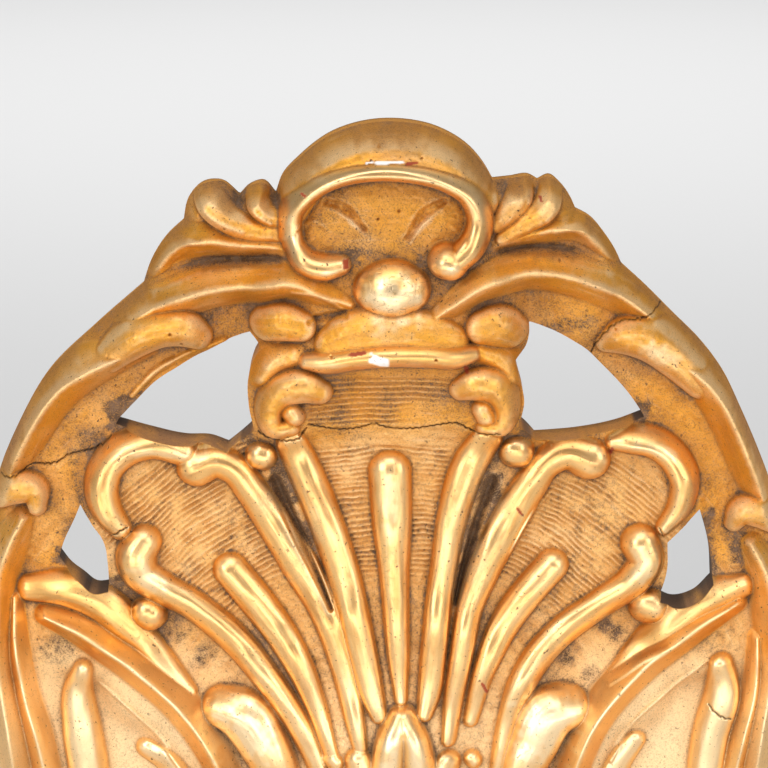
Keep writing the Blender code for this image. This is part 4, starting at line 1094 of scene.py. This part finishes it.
def crazed(tree, scale):
    """Fine net of craze lines, broken up by a cloud and held to the craze mask."""
    web = tree.nodes.new("ShaderNodeTexVoronoi")
    web.feature = "DISTANCE_TO_EDGE"
    web.inputs["Scale"].default_value = scale
    coords = tree.nodes.new("ShaderNodeTexCoord")
    tree.links.new(coords.outputs["Object"], web.inputs["Vector"])
    net = times(tree, ramp(tree, web.outputs["Distance"], (0.0, 0.07, 0.8, 0.0)),
                ramp(tree, cloud(tree, scale, 2.0), (0.46, 0.64, 0.0, 0.8)))
    return times(tree, net, attribute(tree, "craze"))


def raise_skin(tree, shader, height, strength, distance):
    """Bump of the shader's normal by the height."""
    bump = tree.nodes.new("ShaderNodeBump")
    bump.inputs["Strength"].default_value = strength
    bump.inputs["Distance"].default_value = distance
    tree.links.new(height, bump.inputs["Height"])
    tree.links.new(bump.outputs["Normal"], shader.inputs["Normal"])


MATTE_GOLD = (0.76, 0.425, 0.145)
SATIN_GOLD = (0.84, 0.42, 0.07)
BRIGHT_GOLD = (0.88, 0.535, 0.20)
# Pale gold of worn leaf, also painted as highlights
RUBBED_AND_HIGHLIGHT_GOLD = (0.98, 0.77, 0.47)
AGED_GOLD = (0.77, 0.35, 0.042)
AMBER = (0.52, 0.215, 0.04)
UMBER = (0.105, 0.062, 0.038)
GREY_SOIL = (0.19, 0.115, 0.07)
TONED_SIDE = (0.33, 0.18, 0.085)
RED_BOLE = (0.33, 0.065, 0.03)
WHITE_GESSO = (0.86, 0.86, 0.84)
BARE_LIME = (0.34, 0.22, 0.125)
NEAR_BLACK = (0.018, 0.012, 0.008)


def gilding():
    """Gold leaf: matte in the ground, satin on the arches, burnished on the rolls, toned umber,
    with painted shade and painted highlights in its colour.
    """
    material, tree, shader = blank_material("toned_gold_leaf", (
        ("Specular IOR Level", 0.08), ("Specular Tint", (1.0, 0.66, 0.30, 1.0)),
        ("Coat Weight", 0.10), ("Coat Roughness", 0.22), ("Coat IOR", 1.6)))
    shine, tone_and_shade, side, bole, gesso, crack = (
        attribute(tree, name) for name in ("shine", "tone_and_shade", "side", "bole", "gesso", "crack"))
    blotch = cloud(tree, 42.0, 4.0, 0.6)
    grain = cloud(tree, 1500.0, 3.0, 0.7)
    brushed = grained(tree, 520.0, 0.10)
    worn = grained(tree, 190.0, 0.16, 4.0)
    sooty = times(tree, ramp(tree, grain, (0.47, 0.68, 0.0, 0.75)),
                  ramp(tree, shine, (0.1, 0.7, 0.9, 0.2)))
    sooty = times(tree, sooty, ramp(tree, tone_and_shade, (0.0, 1.0, 0.55, 1.0)))
    # Dirt with painted shade in the hollows, and sooty specks
    dirt_and_shade = times(tree, attribute(tree, "dirt_and_shade"), ramp(tree, grain, (0.30, 0.62, 0.55, 1.3)))
    dirt_and_shade = maths(tree, "ADD", dirt_and_shade, sooty, clamp=True)
    earth = mix(tree, ramp(tree, cloud(tree, 240.0, 3.0, 0.6), (0.35, 0.65, 0.0, 1.0)),
                UMBER, GREY_SOIL)
    flank = ramp(tree, cloud(tree, 70.0, 4.0, 0.6, (1.0, 0.5, 1.0)), (0.45, 0.7, 0.0, 0.5))
    flank = layered(tree, TONED_SIDE, (
        (flank, SATIN_GOLD), (times(tree, tone_and_shade, 0.85), mix(tree, 0.4, AMBER, AGED_GOLD)),
        (ramp(tree, grain, (0.45, 0.75, 0.0, 0.6)), UMBER), (attribute(tree, "soil"), UMBER)))
    gold = layered(tree, MATTE_GOLD, (
        (ramp(tree, shine, (0.05, 0.5, 0.0, 1.0)), SATIN_GOLD),
        (ramp(tree, shine, (0.5, 0.95, 0.0, 1.0)), BRIGHT_GOLD),
        # Painted shade: darker, more orange gold on the crown, the neck and the arches
        (times(tree, tone_and_shade, ramp(tree, shine, (0.5, 1.0, 0.95, 0.25))), AGED_GOLD),
        (ramp(tree, blotch, (0.4, 0.75, 0.0, 0.25)), RUBBED_AND_HIGHLIGHT_GOLD),
        (ramp(tree, worn, (0.46, 0.68, 0.0, 0.55)), AMBER),
        (ramp(tree, brushed, (0.55, 0.8, 0.0, 0.30)), RUBBED_AND_HIGHLIGHT_GOLD),
        # Painted highlights, partly wear
        (times(tree, attribute(tree, "wear_and_highlight"), 0.8), RUBBED_AND_HIGHLIGHT_GOLD),
        # Amber toning with painted shade
        (times(tree, attribute(tree, "amber_and_shade"), 0.8), AMBER),
        (dirt_and_shade, earth), (side, flank), (bole, RED_BOLE), (gesso, WHITE_GESSO),
        (crack, NEAR_BLACK)))
    bare = gesso
    for other in (bole, crack, times(tree, dirt_and_shade, 0.95), times(tree, side, 0.85)):
        bare = maths(tree, "MAXIMUM", bare, other)
    metal = times(tree, maths(tree, "SUBTRACT", 1.0, bare, clamp=True),
                  ramp(tree, shine, (0.0, 0.6, 0.45, 1.0)))
    matter = times(tree, tone_and_shade, ramp(tree, shine, (0.6, 0.95, 0.28, 0.0)))
    tree.links.new(times(tree, metal, maths(tree, "SUBTRACT", 1.0, matter)),
                   shader.inputs["Metallic"])
    rough = ramp(tree, shine, (0.1, 1.0, 0.55, 0.33))
    for part, share in ((blotch, 0.16), (brushed, 0.14)):
        rough = maths(tree, "MULTIPLY_ADD", part, share, maths(tree, "SUBTRACT", rough, share / 2))
    tree.links.new(maths(tree, "MULTIPLY_ADD", bare, 0.35, rough, clamp=True),
                   shader.inputs["Roughness"])
    pits = ramp(tree, cloud(tree, 700.0, 2.0, 0.5), (0.34, 0.28, 0.0, 1.0))
    fleck = times(tree, pits, ramp(tree, blotch, (0.35, 0.65, 0.35, 0.95)))
    fleck = maths(tree, "MAXIMUM", fleck, crazed(tree, 420.0))
    tree.links.new(mix(tree, fleck, gold, UMBER), shader.inputs["Base Color"])
    relief = times(tree, grain, ramp(tree, shine, (0.0, 0.9, 1.0, 0.22)))
    relief = maths(tree, "ADD", relief, times(tree, brushed, 0.40))
    relief = maths(tree, "SUBTRACT", relief, times(tree, fleck, 0.6))
    raise_skin(tree, shader, relief, 0.55, 0.0004)
    return material


def old_wood():
    """Bare limewood of the flat back, brown with age, with its grain upright."""
    material, tree, shader = blank_material("aged_limewood", (("Roughness", 0.78),))
    fibre = cloud(tree, 55.0, 5.0, 0.6, (6.0, 1.0, 0.35))
    stain = cloud(tree, 14.0, 3.0, 0.5)
    wood = layered(tree, BARE_LIME, ((ramp(tree, fibre, (0.3, 0.7, 0.0, 0.75)), UMBER),
                                     (ramp(tree, stain, (0.45, 0.75, 0.0, 0.4)), TONED_SIDE)))
    tree.links.new(wood, shader.inputs["Base Color"])
    raise_skin(tree, shader, fibre, 0.4, 0.0005)
    return material


def pale_floor(level):
    """Large pale sheet under the crest, level and plain."""
    mesh = bpy.data.meshes.new("pale_floor")
    near, far = -FLOOR_HALF, FLOOR_HALF * 2
    corners = [(near, near, level), (-near, near, level), (-near, far, level), (near, far, level)]
    mesh.from_pydata(corners, [], [(0, 1, 2, 3)])
    floor = bpy.data.objects.new("pale_floor", mesh)
    bpy.context.scene.collection.objects.link(floor)
    material, _, _ = blank_material("pale_paper", (
        ("Base Color", (0.73, 0.73, 0.73, 1.0)), ("Roughness", 0.9), ("Specular IOR Level", 0.1)))
    mesh.materials.append(material)


def soft_light(name, place_at, aim, width, height, power):
    """Rectangular soft box aimed at a point, unseen by the camera."""
    light = bpy.data.lights.new(name, "AREA")
    light.shape = "RECTANGLE"
    light.size = width
    light.size_y = height
    light.energy = power
    lamp = bpy.data.objects.new(name, light)
    lamp.location = place_at
    lamp.rotation_euler = (Vector(aim) - Vector(place_at)).to_track_quat("-Z", "Y").to_euler()
    lamp.visible_camera = False
    bpy.context.scene.collection.objects.link(lamp)
    return lamp


def studio(heart):
    """Soft boxes left, right, above and low in front, washes on the floor, and a pale room."""
    soft_light("left_soft_box", (-0.85, -0.95, 0.55), heart, 0.5, 0.9, 7.4)
    soft_light("right_soft_box", (1.00, -0.85, 0.45), heart, 0.5, 0.9, 5.4)
    soft_light("top_soft_box", (0.0, -0.55, 1.10), heart, 1.1, 0.6, 4.6)
    soft_light("low_soft_box", (0.0, -0.32, -0.06), (0.0, 0.0, -0.06), 0.6, 0.08, 0.5)
    soft_light("front_wash", (0.0, -1.25, 1.35), (0.0, -1.15, -0.1), 1.6, 0.9, 6.5)
    back = soft_light("back_wash", (0.0, 2.35, 1.5), (0.0, 2.35, -0.1), 3.2, 3.0, 28.0)
    back.data.spread = math.radians(115.0)
    world = bpy.data.worlds.new("pale_room")
    world.use_nodes = True
    room = world.node_tree.nodes["Background"].inputs
    room["Color"].default_value = (1.0, 1.0, 1.0, 1.0)
    room["Strength"].default_value = 0.31
    bpy.context.scene.world = world


def camera():
    """Long lens, level with the drawing: TILT above the crest, EYE away from its back plane."""
    lens = bpy.data.cameras.new("camera")
    lens.sensor_width = 36.0
    lens.lens = EYE / UNIT * lens.sensor_width / (2 * FRAME_MID)
    lens.clip_start = 0.05
    lens.clip_end = 60.0
    eye = bpy.data.objects.new("camera", lens)
    across = (FRAME_MID - CENTRE_LINE) * UNIT
    eye.location = (across, -EYE * math.cos(TILT), EYE * math.sin(TILT) - ORIGIN_Z)
    eye.rotation_euler = (math.pi / 2 - TILT, 0.0, 0.0)
    bpy.context.scene.collection.objects.link(eye)
    bpy.context.scene.camera = eye


gold, wood = gilding(), old_wood()
for piece in carved_front():
    piece.data.materials.append(gold)
    piece.data.materials.append(wood)
    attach(piece, "root")
    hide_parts("carved_crest")

pale_floor(solid_box[0][2] - FLOOR_GAP)
studio((0.0, -0.03, 0.04))
camera()
bpy.context.scene.view_settings.view_transform = "Standard"
bpy.context.scene.view_settings.look = "None"
